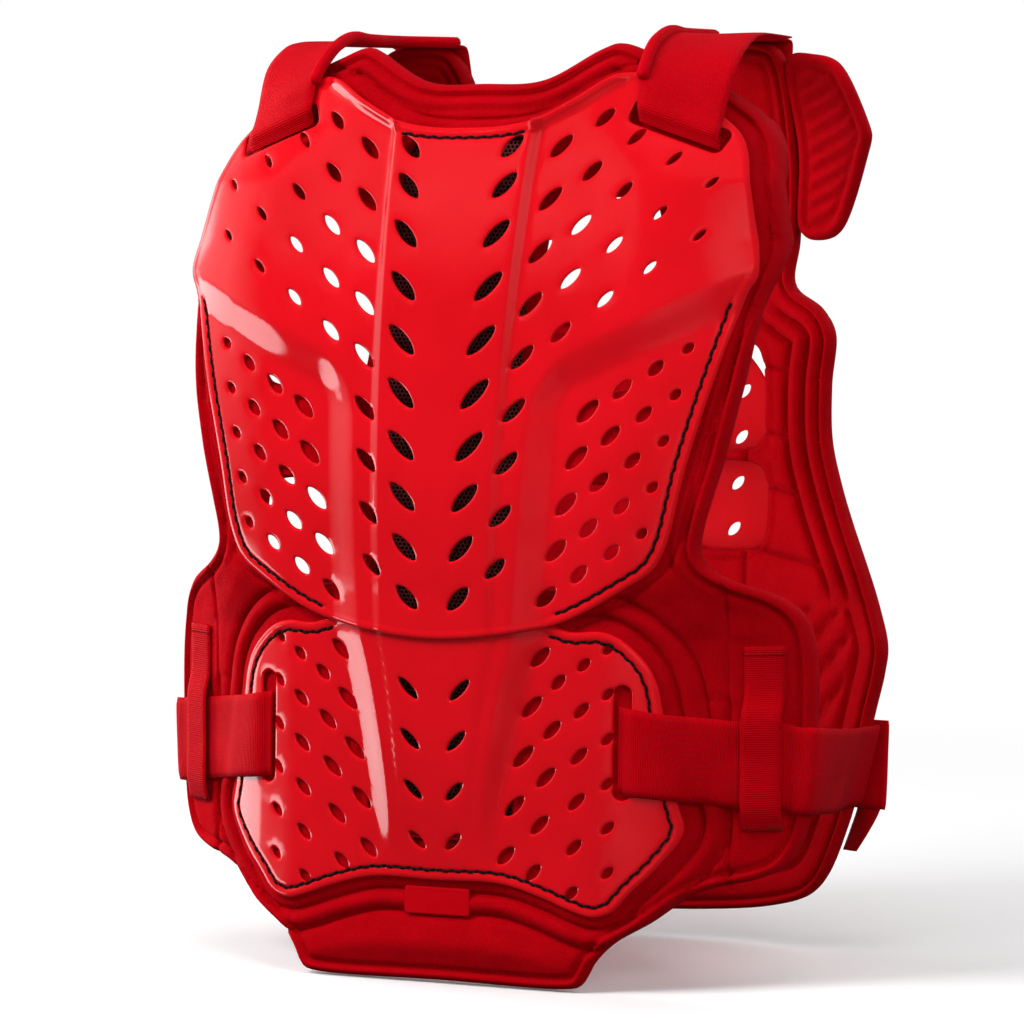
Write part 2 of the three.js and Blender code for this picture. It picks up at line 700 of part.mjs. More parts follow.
// Padded wing beside each yoke
function wing(side) {
  const points = wingEdge.map((row) => ({
    x: side * (row.across * backHalf + wingGap),
    h: backFoot + row.up * backHeight,
  }));
  const low = Math.min(...points.map((p) => p.h)) - overlap;
  const high = Math.max(...points.map((p) => p.h)) + overlap;
  const near = wingEdge[1].across * backHalf - overlap;
  const columns = () => {
    const list = lines(near, backHalf + overlap, panelColumn);
    return side > 0 ? list : list.map((x) => -x).reverse();
  };
  const wall = (backPad - wingThickness) / 2;
  const start = (x, h) => backInside(x, h) + wallDepth(backInside, x, h, wall);
  const end = (x, h) => start(x, h) + wallDepth(backInside, x, h, wingThickness);
  return panelSlab(lines(low, high, panelColumn), columns, start, end).intersect(prism(points));
}

// Shoulder strap on the right: out of its slot, over the shoulder, down the back panel's rear.
// The small plain numbers in the stations are millimetres that keep a band clear of what it passes.
const strapLift = strapThickness / 2 + bandGap;
function shoulderStations() {
  const backTop = backFoot + backHeight;
  const crest = shoulderHeight + strapThickness / 2;
  const tilt = shoulderStrapTilt * radians;
  const across = [-0.5, 0, 0.5].map((u) => u * strapWidth);
  const onPlate = (h, clear) => across.map((a) => {
    const x = shoulderSlotAcross + a * Math.cos(tilt);
    const up = h + a * Math.sin(tilt);
    return [x, chestFront(x, up) + clear(x, up), up];
  });
  const behind = (x, h) => chestBack(x, h) - chestFront(x, h) + strapLift;
  const inFront = () => -strapLift - 1;
  const middle = (x, h) => (chestBack(x, h) - chestFront(x, h)) / 2;
  const level = (y, h, share) => across.map((a) => {
    const up = h + a * Math.sin(tilt * share);
    return [shoulderSlotAcross + a, y + a * 0.25 * share, up];
  });
  const fallX = (backEdge[6].across + backEdge[7].across) * backHalf / 2;
  const onBack = (h) => across.map((a) => {
    const x = fallX + a * 0.7;
    return [fallX + a, backOutside(x, h) + strapLift, h];
  });
  const yoke = backInside(fallX, backTop);
  const yokeRear = backOutside(fallX, backTop) + 1;
  const plateTop = upperFoot + upperHeight;
  const collarFront = chestFront(shoulderSlotAcross, frontHeight) - strapLift;
  return [
    onPlate(shoulderSlotUp - 5, behind),
    onPlate(shoulderSlotUp - 1, middle),
    onPlate(shoulderSlotUp + 4, inFront),
    onPlate(shoulderSlotUp + 12, inFront),
    onPlate(plateTop - 10, inFront),
    level(collarFront + 4, frontHeight - 7, 0.6),
    level(collarFront * 0.42, crest - 2, 0.3),
    level(0, crest, 0),
    level(yoke * 0.6, crest + 0.5, 0),
    across.map((a) => [fallX + a, yoke + 1, backTop + strapLift + 0.8]),
    across.map((a) => [fallX + a, yokeRear - 3, backTop + strapLift + 0.8]),
    across.map((a) => [fallX + a, yokeRear + strapLift + 0.3, backTop + strapLift * 0.5]),
    onBack(backTop - 12),
    onBack(backTop - strapTail * 0.5),
    onBack(backTop - strapTail),
  ];
}

// Waist strap on the right: from its slot, round the flap and the side, onto the back panel
function waistStations() {
  const rows = [0.5, 0, -0.5].map((u) => u * strapWidth);
  const fall = (share) => slotUp - 4 - waistDrop * share;
  const plateEdge = (h) => edgeAcross(bellyPlateEdge, lowerHalf, lowerHeight, lowerFoot, h);
  const flapEdge = (h) => edgeAcross(frontEdge, frontHalf, frontHeight, 0, h);
  const rearEdge = (h) => edgeAcross(backEdge, backHalf, backHeight, backFoot, h);
  const station = (share, place) => rows.map((r) => {
    const h = fall(share) + r;
    const [x, y] = place(h);
    return [x, y, h];
  });
  const inSlot = (x) => (h) => [x, (bellyFront(x, h) + bellyBack(x, h)) / 2];
  const overPlate = (x, h) => [x, bellyFront(x, h) - strapLift];
  const overPad = (x, h) => [x, padFront(x, h) - strapLift];
  const slotEdge = slotAcross + slotWidth / 2;
  const flapY = (h) => padFront(flapEdge(h), h);
  const rearY = (h) => backInside(rearEdge(h), h);
  const rearEnd = (h) => backOutside(rearEdge(h), h);
  return [
    station(0, inSlot(slotAcross - 2)),
    station(0.02, inSlot(slotAcross + 0.5)),
    station(0.05, (h) => overPlate(slotEdge + 1.5, h)),
    station(0.15, (h) => overPlate(plateEdge(h) + 1, h)),
    station(0.22, (h) => overPad(plateEdge(h) + 13, h)),
    station(0.33, (h) => overPad(keeperAcross - keeperWidth * 0.6, h)),
    station(0.4, (h) => overPad(keeperAcross + keeperWidth * 0.6, h)),
    station(0.46, (h) => overPad(flapEdge(h) - 6, h)),
    station(0.48, (h) => [flapEdge(h) + 2, flapY(h) - 1.6]),
    station(0.52, (h) => [flapEdge(h) + 4.4, flapY(h) + 8]),
    station(0.75, (h) => [mix(flapEdge(h), rearEdge(h), 0.5) + 7, mix(flapY(h), rearY(h), 0.5)]),
    station(0.95, (h) => [rearEdge(h) + strapLift + 1, rearY(h) - 4]),
    station(0.98, (h) => [rearEdge(h) + strapLift + 0.8, rearEnd(h) - 3]),
    station(0.99, (h) => [rearEdge(h) + strapLift * 0.8, rearEnd(h) + strapLift * 0.9]),
    station(1, (h) => [rearEdge(h) - 5, backOutside(rearEdge(h) - 5, h) + strapLift + 0.3]),
    station(1, (h) => [rearEdge(h) - 18, backOutside(rearEdge(h) - 18, h) + strapLift]),
  ];
}

// Keeper sewn on the flap above and below the waist strap, which runs under it
function keeperStations() {
  const across = [-0.5, 0.5].map((u) => u * keeperWidth);
  const flat = keeperThickness / 2 + bandGap;
  const raised = 2 * bandGap + strapThickness + keeperThickness / 2 + 0.8;
  const strapTop = slotUp - 4 - waistDrop * 0.365 + strapWidth / 2;
  const strapFoot = strapTop - strapWidth;
  const station = (h, clear) => across.map((a) => {
    const x = keeperAcross + a;
    return [x, padFront(x, h) - wallDepth(frontForward, x, h, clear), h];
  });
  return [
    station(keeperTop, flat),
    station(strapTop + 16, flat),
    station(strapTop + 3, raised),
    station((strapTop + strapFoot) / 2, raised),
    station(strapFoot - 1, raised),
    station(keeperFoot, flat),
  ];
}

// Hook tab laid over the waist strap's rear end, standing past the side of the back panel
function tabStations() {
  const middle = slotUp - 4 - waistDrop;
  const rows = [0.5, 0, -0.5].map((u) => middle + u * tabHeight);
  const side = edgeAcross(backEdge, backHalf, backHeight, backFoot, middle);
  const lift = 2 * strapLift + tabThickness / 2 + sewn;
  const last = side + tabPast;
  const place = (x, h) => [x, backOutside(Math.min(x, side), h) + lift, h];
  const steps = [0, 0.4, 0.7, 1];
  return steps.map((t) => rows.map((h) => place(last - tabWidth * t, h)));
}

addSolid('chest_plate', chestPlate(), gloss);
addSolid('belly_plate', bellyPlate(), gloss);
addSolid('front_panel', frontPanel(), cloth);
addSolid('front_net', frontNet(), net);
addSolid('hem_label', hemLabel(), webbing);
addSolid('back_panel', backPanel(), cloth);
addSolid('back_plate', backPlate(), gloss);
for (const [name, side] of [['right', 1], ['left', -1]]) {
  const placed = (stations) => (side > 0 ? stations : mirroredStations(stations));
  addSolid(`shoulder_wing_${name}`, wing(side), cloth);
  const shoulder = band(placed(shoulderStations()), strapThickness, shoulderSteps);
  const waist = band(placed(waistStations()), strapThickness, waistSteps);
  addSolid(`shoulder_strap_${name}`, shoulder, webbing);
  addSolid(`waist_strap_${name}`, waist, webbing);
  addSolid(`keeper_${name}`, band(placed(keeperStations()), keeperThickness, keeperSteps), webbing);
  addSolid(`hook_tab_${name}`, band(placed(tabStations()), tabThickness, tabSteps), cloth);
}

export default group;
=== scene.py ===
"""Looks of the roost deflector: glossy pierced plates on padded cloth, webbing, net and stitching.

Shape functions are in millimetres, with heights counted up from the front hem, as the solids are.
"""
import math
import random

import bpy
import numpy as np
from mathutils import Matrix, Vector
from mathutils.geometry import delaunay_2d_cdt
from mathutils.kdtree import KDTree


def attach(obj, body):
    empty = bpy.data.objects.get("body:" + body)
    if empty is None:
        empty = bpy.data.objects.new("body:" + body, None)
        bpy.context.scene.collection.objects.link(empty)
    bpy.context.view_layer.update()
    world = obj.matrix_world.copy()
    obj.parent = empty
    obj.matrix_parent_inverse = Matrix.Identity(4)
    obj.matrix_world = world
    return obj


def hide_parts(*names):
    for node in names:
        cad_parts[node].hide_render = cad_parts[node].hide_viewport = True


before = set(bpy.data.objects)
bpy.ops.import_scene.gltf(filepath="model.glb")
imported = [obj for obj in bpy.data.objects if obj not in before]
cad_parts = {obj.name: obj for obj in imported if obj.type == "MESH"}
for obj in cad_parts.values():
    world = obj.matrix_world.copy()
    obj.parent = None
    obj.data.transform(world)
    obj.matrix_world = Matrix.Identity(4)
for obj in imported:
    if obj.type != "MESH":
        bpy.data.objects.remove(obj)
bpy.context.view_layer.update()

MM = 0.001

# Sizes shared with the solids, in millimetres
FRONT_HEIGHT = 545
SHOULDER_HEIGHT = 549
CHEST_REACH = 119
BACK_REACH = 127
FRONT_HALF = 206
WAIST_HEIGHT = 224
PAD_THICKNESS = 14
PLATE_WALL = 2.6
SEAT_GAP = 0.8
LAP_GAP = 0.8
COLLAR_LEAN = 43
COLLAR_CORNER = 485
BELLY_LEAN = 8.4
UPPER_HALF, UPPER_HEIGHT, UPPER_FOOT = 183, 327, 200
LOWER_HALF, LOWER_HEIGHT, LOWER_FOOT = 146, 164, 43
CHEST_RISE = 6.5
RIDGE_RISE, RIDGE_FADE, RIDGE_SLOPE = 5, 0.25, 5.5
RIDGE_HALF_TOP, RIDGE_HALF_FOOT = 43, 33
BAND_SLOPE, BAND_ROUND = 20, 26
BAND_ELBOW_ACROSS, BAND_ELBOW_UP = 56, 356
BAND_RISE, BAND_DRIFT = 0.47, 0.055
LENS_TILT = 45
SLOT_HEIGHT, SLOT_WIDTH = 66, 10
SLOT_ACROSS, SLOT_UP = 114, 143.5
SHOULDER_SLOT_LENGTH, SHOULDER_SLOT_WIDTH = 58, 14
SHOULDER_SLOT_ACROSS, SHOULDER_SLOT_UP = 129, 495.5
SHOULDER_STRAP_TILT = math.radians(-20)
STRAP_WIDTH, STRAP_THICKNESS = 50, 2.2
KEEPER_WIDTH, KEEPER_THICKNESS = 20, 1.6
KEEPER_ACROSS, KEEPER_TOP, KEEPER_FOOT = 184, 198, 92
BAND_GAP = 0.8
STRAP_TAIL = 52
WAIST_DROP = 28
BACK_PAD = 16
BACK_HALF, BACK_HEIGHT, BACK_FOOT = 198, 534, 14
BACK_BULGE = 300
BACK_PLATE_WALL = 2.6
WING_THICKNESS, WING_GAP = 11, 0.8
MESH_THICKNESS = 1.4
LABEL_WIDTH, LABEL_HEIGHT, LABEL_THICKNESS = 42, 16, 1.2
SEWN = 0.4
STRAP_LIFT = STRAP_THICKNESS / 2 + BAND_GAP
WINDOW_ROUND = 0.03
COLUMN_ROUND = 16
EDGE_STEP = 2.4

# Half width, height and foot of each outline
FRONT_SIZE = (FRONT_HALF, FRONT_HEIGHT, 0)
UPPER_SIZE = (UPPER_HALF, UPPER_HEIGHT, UPPER_FOOT)
LOWER_SIZE = (LOWER_HALF, LOWER_HEIGHT, LOWER_FOOT)
BACK_SIZE = (BACK_HALF, BACK_HEIGHT, BACK_FOOT)
REAR_SIZE = (118, 330, 46)

# Plan form of the front: (up, flat, bend, turn)
FRONT_FORM = np.array([
    (0, 0.385, 0.56, 34), (0.18, 0.38, 0.56, 34), (0.37, 0.39, 0.6, 35), (0.5, 0.43, 0.97, 45),
    (0.62, 0.45, 1.16, 48), (0.735, 0.525, 0.68, 50), (0.79, 0.573, 0.44, 58),
    (0.853, 0.525, 0.53, 55), (0.917, 0.34, 0.73, 50), (1, 0.267, 0.78, 50),
])
# Half outlines from the middle outwards: (across, up), shares of half width and height
CHEST_PLATE_EDGE = [
    (0, 0.905), (0.12, 0.907), (0.235, 0.919), (0.372, 0.957), (0.492, 0.997), (0.568, 1),
    (0.7, 0.969), (0.809, 0.927), (0.88, 0.893), (0.918, 0.856), (0.967, 0.752), (1, 0.645),
    (0.973, 0.612), (0.891, 0.453), (0.82, 0.309), (0.765, 0.177), (0.721, 0.131),
    (0.639, 0.098), (0.437, 0.037), (0.273, 0.015), (0, 0),
]
BELLY_PLATE_EDGE = [
    (0, 1.018), (0.425, 1.03), (0.568, 0.997), (0.692, 1), (0.767, 0.976), (0.863, 0.896),
    (0.904, 0.823), (0.925, 0.726), (0.979, 0.402), (1, 0.299), (0.918, 0.183), (0.815, 0.085),
    (0.747, 0.018), (0.671, 0), (0.589, 0.018), (0.452, 0.061), (0.281, 0.098), (0, 0.098),
]
FRONT_EDGE = [
    (0, 0.958), (0.184, 0.961), (0.35, 0.994), (0.398, 1), (0.49, 0.989), (0.621, 0.969),
    (0.728, 0.943), (0.796, 0.923), (0.854, 0.894), (0.903, 0.818), (0.917, 0.771),
    (0.883, 0.712), (0.859, 0.642), (0.816, 0.565), (0.752, 0.47), (0.762, 0.453),
    (0.806, 0.437), (0.927, 0.413), (0.976, 0.391), (1, 0.35), (1, 0.253), (0.976, 0.158),
    (0.932, 0.128), (0.874, 0.117), (0.728, 0.103), (0.621, 0.073), (0.524, 0.05),
    (0.476, 0.031), (0.432, 0.004), (0.388, 0), (0, 0),
]
BACK_EDGE = [
    (0, 0.691), (0.212, 0.695), (0.303, 0.717), (0.343, 0.779), (0.374, 0.891), (0.414, 0.976),
    (0.465, 1), (0.636, 1), (0.677, 0.985), (0.697, 0.88), (0.667, 0.779), (0.641, 0.728),
    (0.737, 0.702), (0.783, 0.674), (0.763, 0.614), (0.763, 0.551), (0.798, 0.502),
    (0.843, 0.459), (0.96, 0.365), (1, 0.32), (0.99, 0.29), (0.955, 0.243), (0.864, 0.112),
    (0.763, 0.039), (0.606, 0.015), (0, 0),
]
BACK_PLATE_EDGE = [
    (0, 0.985), (0.36, 1), (0.62, 0.985), (0.85, 0.9), (0.94, 0.75), (0.9, 0.5), (1, 0.2),
    (0.9, 0.05), (0.7, 0), (0, 0.03),
]
WING_EDGE = [
    (0.697, 0.88), (0.667, 0.781), (0.818, 0.781), (0.975, 0.886), (0.985, 0.901),
    (0.899, 0.974), (0.828, 0.987), (0.677, 0.989),
]
# Openings in the padding: (inner, outer, foot, top, inner at the foot)
FRONT_WINDOWS = [(0.27, 0.6, 0.635, 0.83, 0.27), (0.28, 0.57, 0.425, 0.53, 0.24)]
BACK_WINDOWS = [(0.24, 0.52, 0.54, 0.66, 0.24), (0.24, 0.53, 0.425, 0.52, 0.24)]
COLUMN_HALF, COLUMN_FOOT, COLUMN_TOP = 0.22, 0.15, 0.9
# Columns of lens holes: (count, across at top and foot, top, foot, crowd, lengths at top,
# middle and foot, width)
CHEST_HOLES = [
    (10, 0.179, 0.089, 0.871, 0.073, 0.275, 0.053, 0.072, 0.056, 0.023),
    (9, 0.338, 0.216, 0.87, 0.128, 0, 0.053, 0.057, 0.048, 0.019),
    (5, 0.473, 0.404, 0.92, 0.543, 0, 0.042, 0.048, 0.048, 0.017),
    (4, 0.587, 0.546, 0.886, 0.602, 0, 0.038, 0.039, 0.039, 0.014),
    (3, 0.717, 0.686, 0.847, 0.657, 0, 0.03, 0.031, 0.03, 0.011),
    (2, 0.844, 0.83, 0.805, 0.713, 0, 0.025, 0.025, 0.025, 0.009),
    (5, 0.499, 0.377, 0.406, 0.08, 0, 0.053, 0.053, 0.047, 0.021),
    (5, 0.611, 0.487, 0.445, 0.121, 0, 0.044, 0.044, 0.04, 0.019),
    (5, 0.716, 0.595, 0.482, 0.161, 0, 0.034, 0.035, 0.034, 0.017),
    (5, 0.812, 0.691, 0.517, 0.195, 0, 0.022, 0.023, 0.022, 0.014),
]
BELLY_HOLES = [
    (4, 0.113, 0.078, 0.78, 0.24, 0, 0.103, 0.094, 0.08, 0.031),
    (5, 0.44, 0.303, 0.904, 0.2, 0, 0.091, 0.103, 0.085, 0.037),
    (5, 0.519, 0.423, 0.818, 0.147, 0, 0.068, 0.094, 0.074, 0.034),
    (6, 0.626, 0.589, 0.882, 0.083, 0, 0.057, 0.08, 0.057, 0.031),
    (6, 0.722, 0.732, 0.938, 0.158, 0, 0.043, 0.057, 0.051, 0.027),
]
BACK_HOLES = [
    (4, 0.44, 0.4, 0.88, 0.62, 0, 0.048, 0.054, 0.048, 0.021),
    (4, 0.72, 0.66, 0.88, 0.62, 0, 0.034, 0.034, 0.034, 0.017),
]


def clamp(v):
    return np.clip(v, 0.0, 1.0)


def mix(a, b, t):
    return a + (b - a) * t


def ease(t):
    t = clamp(t)
    return t * t * (3 - 2 * t)


def ramp(t):
    """A straight slope with slightly softened ends."""
    return mix(clamp(t), ease(t), 0.3)


def bump(d, centre, width):
    """A smooth hump of height 1 at centre, gone at width to either side."""
    return 1 - ease(np.abs(d - centre) / width)


def bend_depth(x, flat, bend, turn):
    past = np.maximum(0, np.abs(x) - flat)
    reach = bend * np.sin(turn)
    arc = bend - np.sqrt(np.maximum(0, bend * bend - np.minimum(past, reach) ** 2))
    return arc + np.maximum(0, past - reach) * np.tan(turn)


def front_forward(x, h):
    """Plane that the sunk sides of the plates lie on."""
    t = clamp(h / FRONT_HEIGHT)
    flat = np.interp(t, FRONT_FORM[:, 0], FRONT_FORM[:, 1]) * FRONT_HALF
    bend = np.interp(t, FRONT_FORM[:, 0], FRONT_FORM[:, 2]) * FRONT_HALF
    turn = np.radians(np.interp(t, FRONT_FORM[:, 0], FRONT_FORM[:, 3]))
    above = np.maximum(0, h - WAIST_HEIGHT) / (COLLAR_CORNER - WAIST_HEIGHT)
    below = np.maximum(0, WAIST_HEIGHT - h) / WAIST_HEIGHT
    lean = COLLAR_LEAN * above * above - BELLY_LEAN * below
    return -CHEST_REACH + lean + bend_depth(x, flat, bend, turn)


def back_inside(x, h):
    """Inside face of the back panel."""
    above = np.maximum(0, h - BACK_BULGE) / (SHOULDER_HEIGHT - BACK_BULGE)
    below = np.maximum(0, BACK_BULGE - h) / BACK_BULGE
    lean = BACK_REACH * (0.37 * above * above + 0.2 * below * below)
    return BACK_REACH - lean - bend_depth(x, BACK_HALF * 0.354, BACK_HALF * 1.086, math.pi / 3)


def ridge_half(h):
    t = (h - UPPER_FOOT) / (COLLAR_CORNER - UPPER_FOOT)
    return mix(RIDGE_HALF_FOOT, RIDGE_HALF_TOP, t)


def plate_rise(x, h):
    """How far the moulded plates stand forward of the plane of their sunk sides."""
    side = np.abs(x)
    t = clamp((h - UPPER_FOOT) / (COLLAR_CORNER - UPPER_FOOT))
    strip = 1 - clamp((side - ridge_half(h)) / RIDGE_SLOPE)
    ridge = RIDGE_RISE * mix(RIDGE_FADE, 1, t) * strip
    right = side - BAND_ELBOW_ACROSS - BAND_DRIFT * (h - BAND_ELBOW_UP)
    under = BAND_ELBOW_UP - h + BAND_RISE * (side - BAND_ELBOW_ACROSS)
    under = under / math.hypot(1, BAND_RISE)
    corner = np.hypot(np.maximum(0, BAND_ROUND - right), np.maximum(0, BAND_ROUND - under))
    nearest = np.minimum(right, under)
    inside = np.where(nearest > BAND_ROUND, nearest, BAND_ROUND - corner)
    return CHEST_RISE * (1 - ramp(inside / BAND_SLOPE)) + ridge


def belly_rise(x, h):
    t = clamp((h - LOWER_FOOT) / (UPPER_FOOT - LOWER_FOOT))
    return plate_rise(x * mix(2, 1, t), np.maximum(h, UPPER_FOOT)) * ease(t * 1.5)


def wall_depth(form, x, h, wall):
    """Thickness measured straight back, so that the wall is even across a bend."""
    slope = (form(x + 1, h) - form(x - 1, h)) / 2
    fall = (form(x, h + 1) - form(x, h - 1)) / 2
    return wall * np.sqrt(1 + slope * slope + fall * fall)


LAP_DROP = PLATE_WALL + LAP_GAP


def chest_front(x, h):
    return front_forward(x, h) - plate_rise(x, h)


def chest_back(x, h):
    return chest_front(x, h) + wall_depth(front_forward, x, h, PLATE_WALL)


def belly_front(x, h):
    return front_forward(x, h) + LAP_DROP - belly_rise(x, h)


def belly_back(x, h):
    return belly_front(x, h) + wall_depth(front_forward, x, h, PLATE_WALL)


def pad_start(h):
    return PLATE_WALL + SEAT_GAP + LAP_DROP * (1 - ease((h - UPPER_FOOT - 16) / 30))


def pad_front(x, h):
    return front_forward(x, h) + wall_depth(front_forward, x, h, pad_start(h))


def pad_back(x, h):
    return pad_front(x, h) + wall_depth(front_forward, x, h, PAD_THICKNESS)


def back_outside(x, h):
    return back_inside(x, h) + wall_depth(back_inside, x, h, BACK_PAD)


def rear_front(x, h):
    return back_inside(x, h) + wall_depth(back_inside, x, h, BACK_PAD + SEAT_GAP)


def rear_back(x, h):
    return rear_front(x, h) + wall_depth(back_inside, x, h, BACK_PLATE_WALL)


def curve_through(points, steps, closed):
    """Centripetal Catmull-Rom curve through points, steps samples per span."""
    p = np.asarray(points, float)
    ends = [p[-1:], p, p[:2]] if closed else [[2 * p[0] - p[1]], p, [2 * p[-1] - p[-2]]]
    p = np.concatenate(ends)
    p0, p1, p2, p3 = p[:-3], p[1:-2], p[2:-1], p[3:]

    def span(a, b):
        return np.maximum(np.linalg.norm(b - a, axis=-1), 1e-6)[:, None] ** 0.5

    d0, d1, d2 = span(p0, p1), span(p1, p2), span(p2, p3)
    m1 = ((p1 - p0) / d0 - (p2 - p0) / (d0 + d1) + (p2 - p1) / d1) * d1
    m2 = ((p2 - p1) / d1 - (p3 - p1) / (d1 + d2) + (p3 - p2) / d2) * d1
    t = np.arange(steps)[:, None] / steps
    curve = ((2 * t ** 3 - 3 * t ** 2 + 1) * p1[:, None] + (t ** 3 - 2 * t ** 2 + t) * m1[:, None]
             + (-2 * t ** 3 + 3 * t ** 2) * p2[:, None] + (t ** 3 - t ** 2) * m2[:, None])
    curve = curve.reshape(-1, p.shape[1])
    return curve if closed else np.concatenate([curve, p[-2:-1]])


def run_of(line):
    """Length along a line up to each of its points."""
    return np.concatenate([[0], np.cumsum(np.linalg.norm(np.diff(line, axis=0), axis=1))])


def picked(line, at):
    """Points of a line at the given lengths along it."""
    run = run_of(line)
    return np.column_stack([np.interp(at, run, column) for column in line.T])


def even_loop(loop, step):
    """The same closed loop with points a steady distance apart."""
    ring = np.vstack([loop, loop[:1]])
    length = run_of(ring)[-1]
    count = max(8, int(round(length / step)))
    return picked(ring, np.arange(count) * length / count)


def even_line(line, step):
    """The same open line with points a steady distance apart."""
    length = run_of(line)[-1]
    return picked(line, np.linspace(0, length, max(3, int(length / step))))


def outline(table, size, step):
    """Smooth closed loop, counter-clockwise as seen from the front, from a half table."""
    half, height, foot = size
    right = [(a * half, foot + u * height) for a, u in table]
    left = [(-x, h) for x, h in right[1:-1]]
    return even_loop(curve_through(right[::-1] + left, 12, True), step)


def lens(x, h, length, width, side):
    """Pointed oval hole."""
    angle = side * math.radians(LENS_TILT)
    turn = np.linspace(0, 2 * math.pi, 24, endpoint=False)
    a = length / 2 * np.cos(turn)
    b = width / 2 * np.sin(turn) * np.abs(np.sin(turn)) ** 0.3
    return np.column_stack([x + a * math.cos(angle) - b * math.sin(angle),
                            h + a * math.sin(angle) + b * math.cos(angle)])


def lens_holes(table, size):
    half, height, foot = size
    found = []
    for count, top_x, foot_x, top, low, crowd, long_top, long_mid, long_foot, wide in table:
        for i in range(count):
            t = i / (count - 1)
            bow = 4 * t * (1 - t)
            chord = mix(long_top, long_foot, t)
            length = (chord + (long_mid - (long_top + long_foot) / 2) * bow) * height
            x = mix(top_x, foot_x, t) * half
            h = foot + (mix(top, low, t) + crowd * t * (1 - t) ** 4) * height
            found += [lens(side * x, h, length, wide * height, side) for side in (1, -1)]
    return found


def round_box(x, h, width, height, radius, angle=0.0, step=3.0):
    """Rectangle with round corners, turned by angle."""
    points = []
    for k, (sx, sh) in enumerate(((1, 1), (-1, 1), (-1, -1), (1, -1))):
        for j in range(7):
            a = math.pi / 2 * (k + j / 6)
            points.append((sx * (width / 2 - radius) + radius * math.cos(a),
                           sh * (height / 2 - radius) + radius * math.sin(a)))
    p = np.array(points)
    c, s = math.cos(angle), math.sin(angle)
    turned = np.column_stack([x + p[:, 0] * c - p[:, 1] * s, h + p[:, 0] * s + p[:, 1] * c])
    return even_loop(turned, step)


def soft_loop(corners, reach, step):
    """Loop through corners, each softened over reach to both sides."""
    corners = np.array(corners)
    points = []
    for k, here in enumerate(corners):
        for other in (corners[k - 1], corners[(k + 1) % len(corners)]):
            way = other - here
            points.append(here + way * min(0.25, reach / np.linalg.norm(way)))
    return even_loop(curve_through(points, 8, True), step)


def windows(table, size):
    """Openings of the padding on both halves."""
    half, height, foot = size
    found = []
    for side in (1, -1):
        for inner, outer, low, top, inner_foot in table:
            low, top = foot + low * height, foot + top * height
            corners = [(inner_foot * half, low), (outer * half, low), (outer * half, top),
                       (inner * half, top)]
            loop = soft_loop(corners, WINDOW_ROUND * half, 3.0)
            found.append((loop * (side, 1))[::side])
    return found


def column_outline(inset):
    middle = (COLUMN_FOOT + COLUMN_TOP) / 2 * FRONT_HEIGHT
    tall = (COLUMN_TOP - COLUMN_FOOT) * FRONT_HEIGHT
    wide = 2 * COLUMN_HALF * FRONT_HALF
    return round_box(0, middle, wide - 2 * inset, tall - 2 * inset, COLUMN_ROUND)


def offset_loop(loop, distance):
    """Loop moved to its left by distance: inwards, when it runs counter-clockwise."""
    way = np.roll(loop, -1, axis=0) - np.roll(loop, 1, axis=0)
    way /= np.maximum(np.linalg.norm(way, axis=1), 1e-9)[:, None]
    return loop + np.column_stack([-way[:, 1], way[:, 0]]) * distance


def inside_loop(points, loop):
    x, y = points[:, 0], points[:, 1]
    result = np.zeros(len(points), bool)
    ax, ay = loop[:, 0], loop[:, 1]
    bx, by = np.roll(ax, -1), np.roll(ay, -1)
    for k in range(len(loop)):
        if ay[k] == by[k]:
            continue
        crosses = (ay[k] > y) != (by[k] > y)
        at = ax[k] + (y - ay[k]) * (bx[k] - ax[k]) / (by[k] - ay[k])
        result ^= crosses & (x < at)
    return result


def tree_of(points):
    tree = KDTree(len(points))
    for i, (x, h) in enumerate(points):
        tree.insert((x, h, 0), i)
    tree.balance()
    return tree


def nearest(tree, points):
    return np.array([tree.find((x, h, 0))[2] for x, h in points])


def distance_to(loops, step=0.4):
    """A function that gives the distance from points to the nearest of some loops."""
    if not loops:
        return lambda points: np.full(len(points), 1e3)
    dense = []
    for loop in loops:
        for a, b in zip(loop, np.roll(loop, -1, axis=0)):
            count = max(1, int(np.linalg.norm(b - a) / step))
            dense.append(a + (b - a) * np.arange(count)[:, None] / count)
    tree = tree_of(np.vstack(dense))
    return lambda points: nearest(tree, points)


def clear_of(points, others, gap):
    """Those points that lie further than gap from all the others."""
    return points[nearest(tree_of(others), points) > gap]


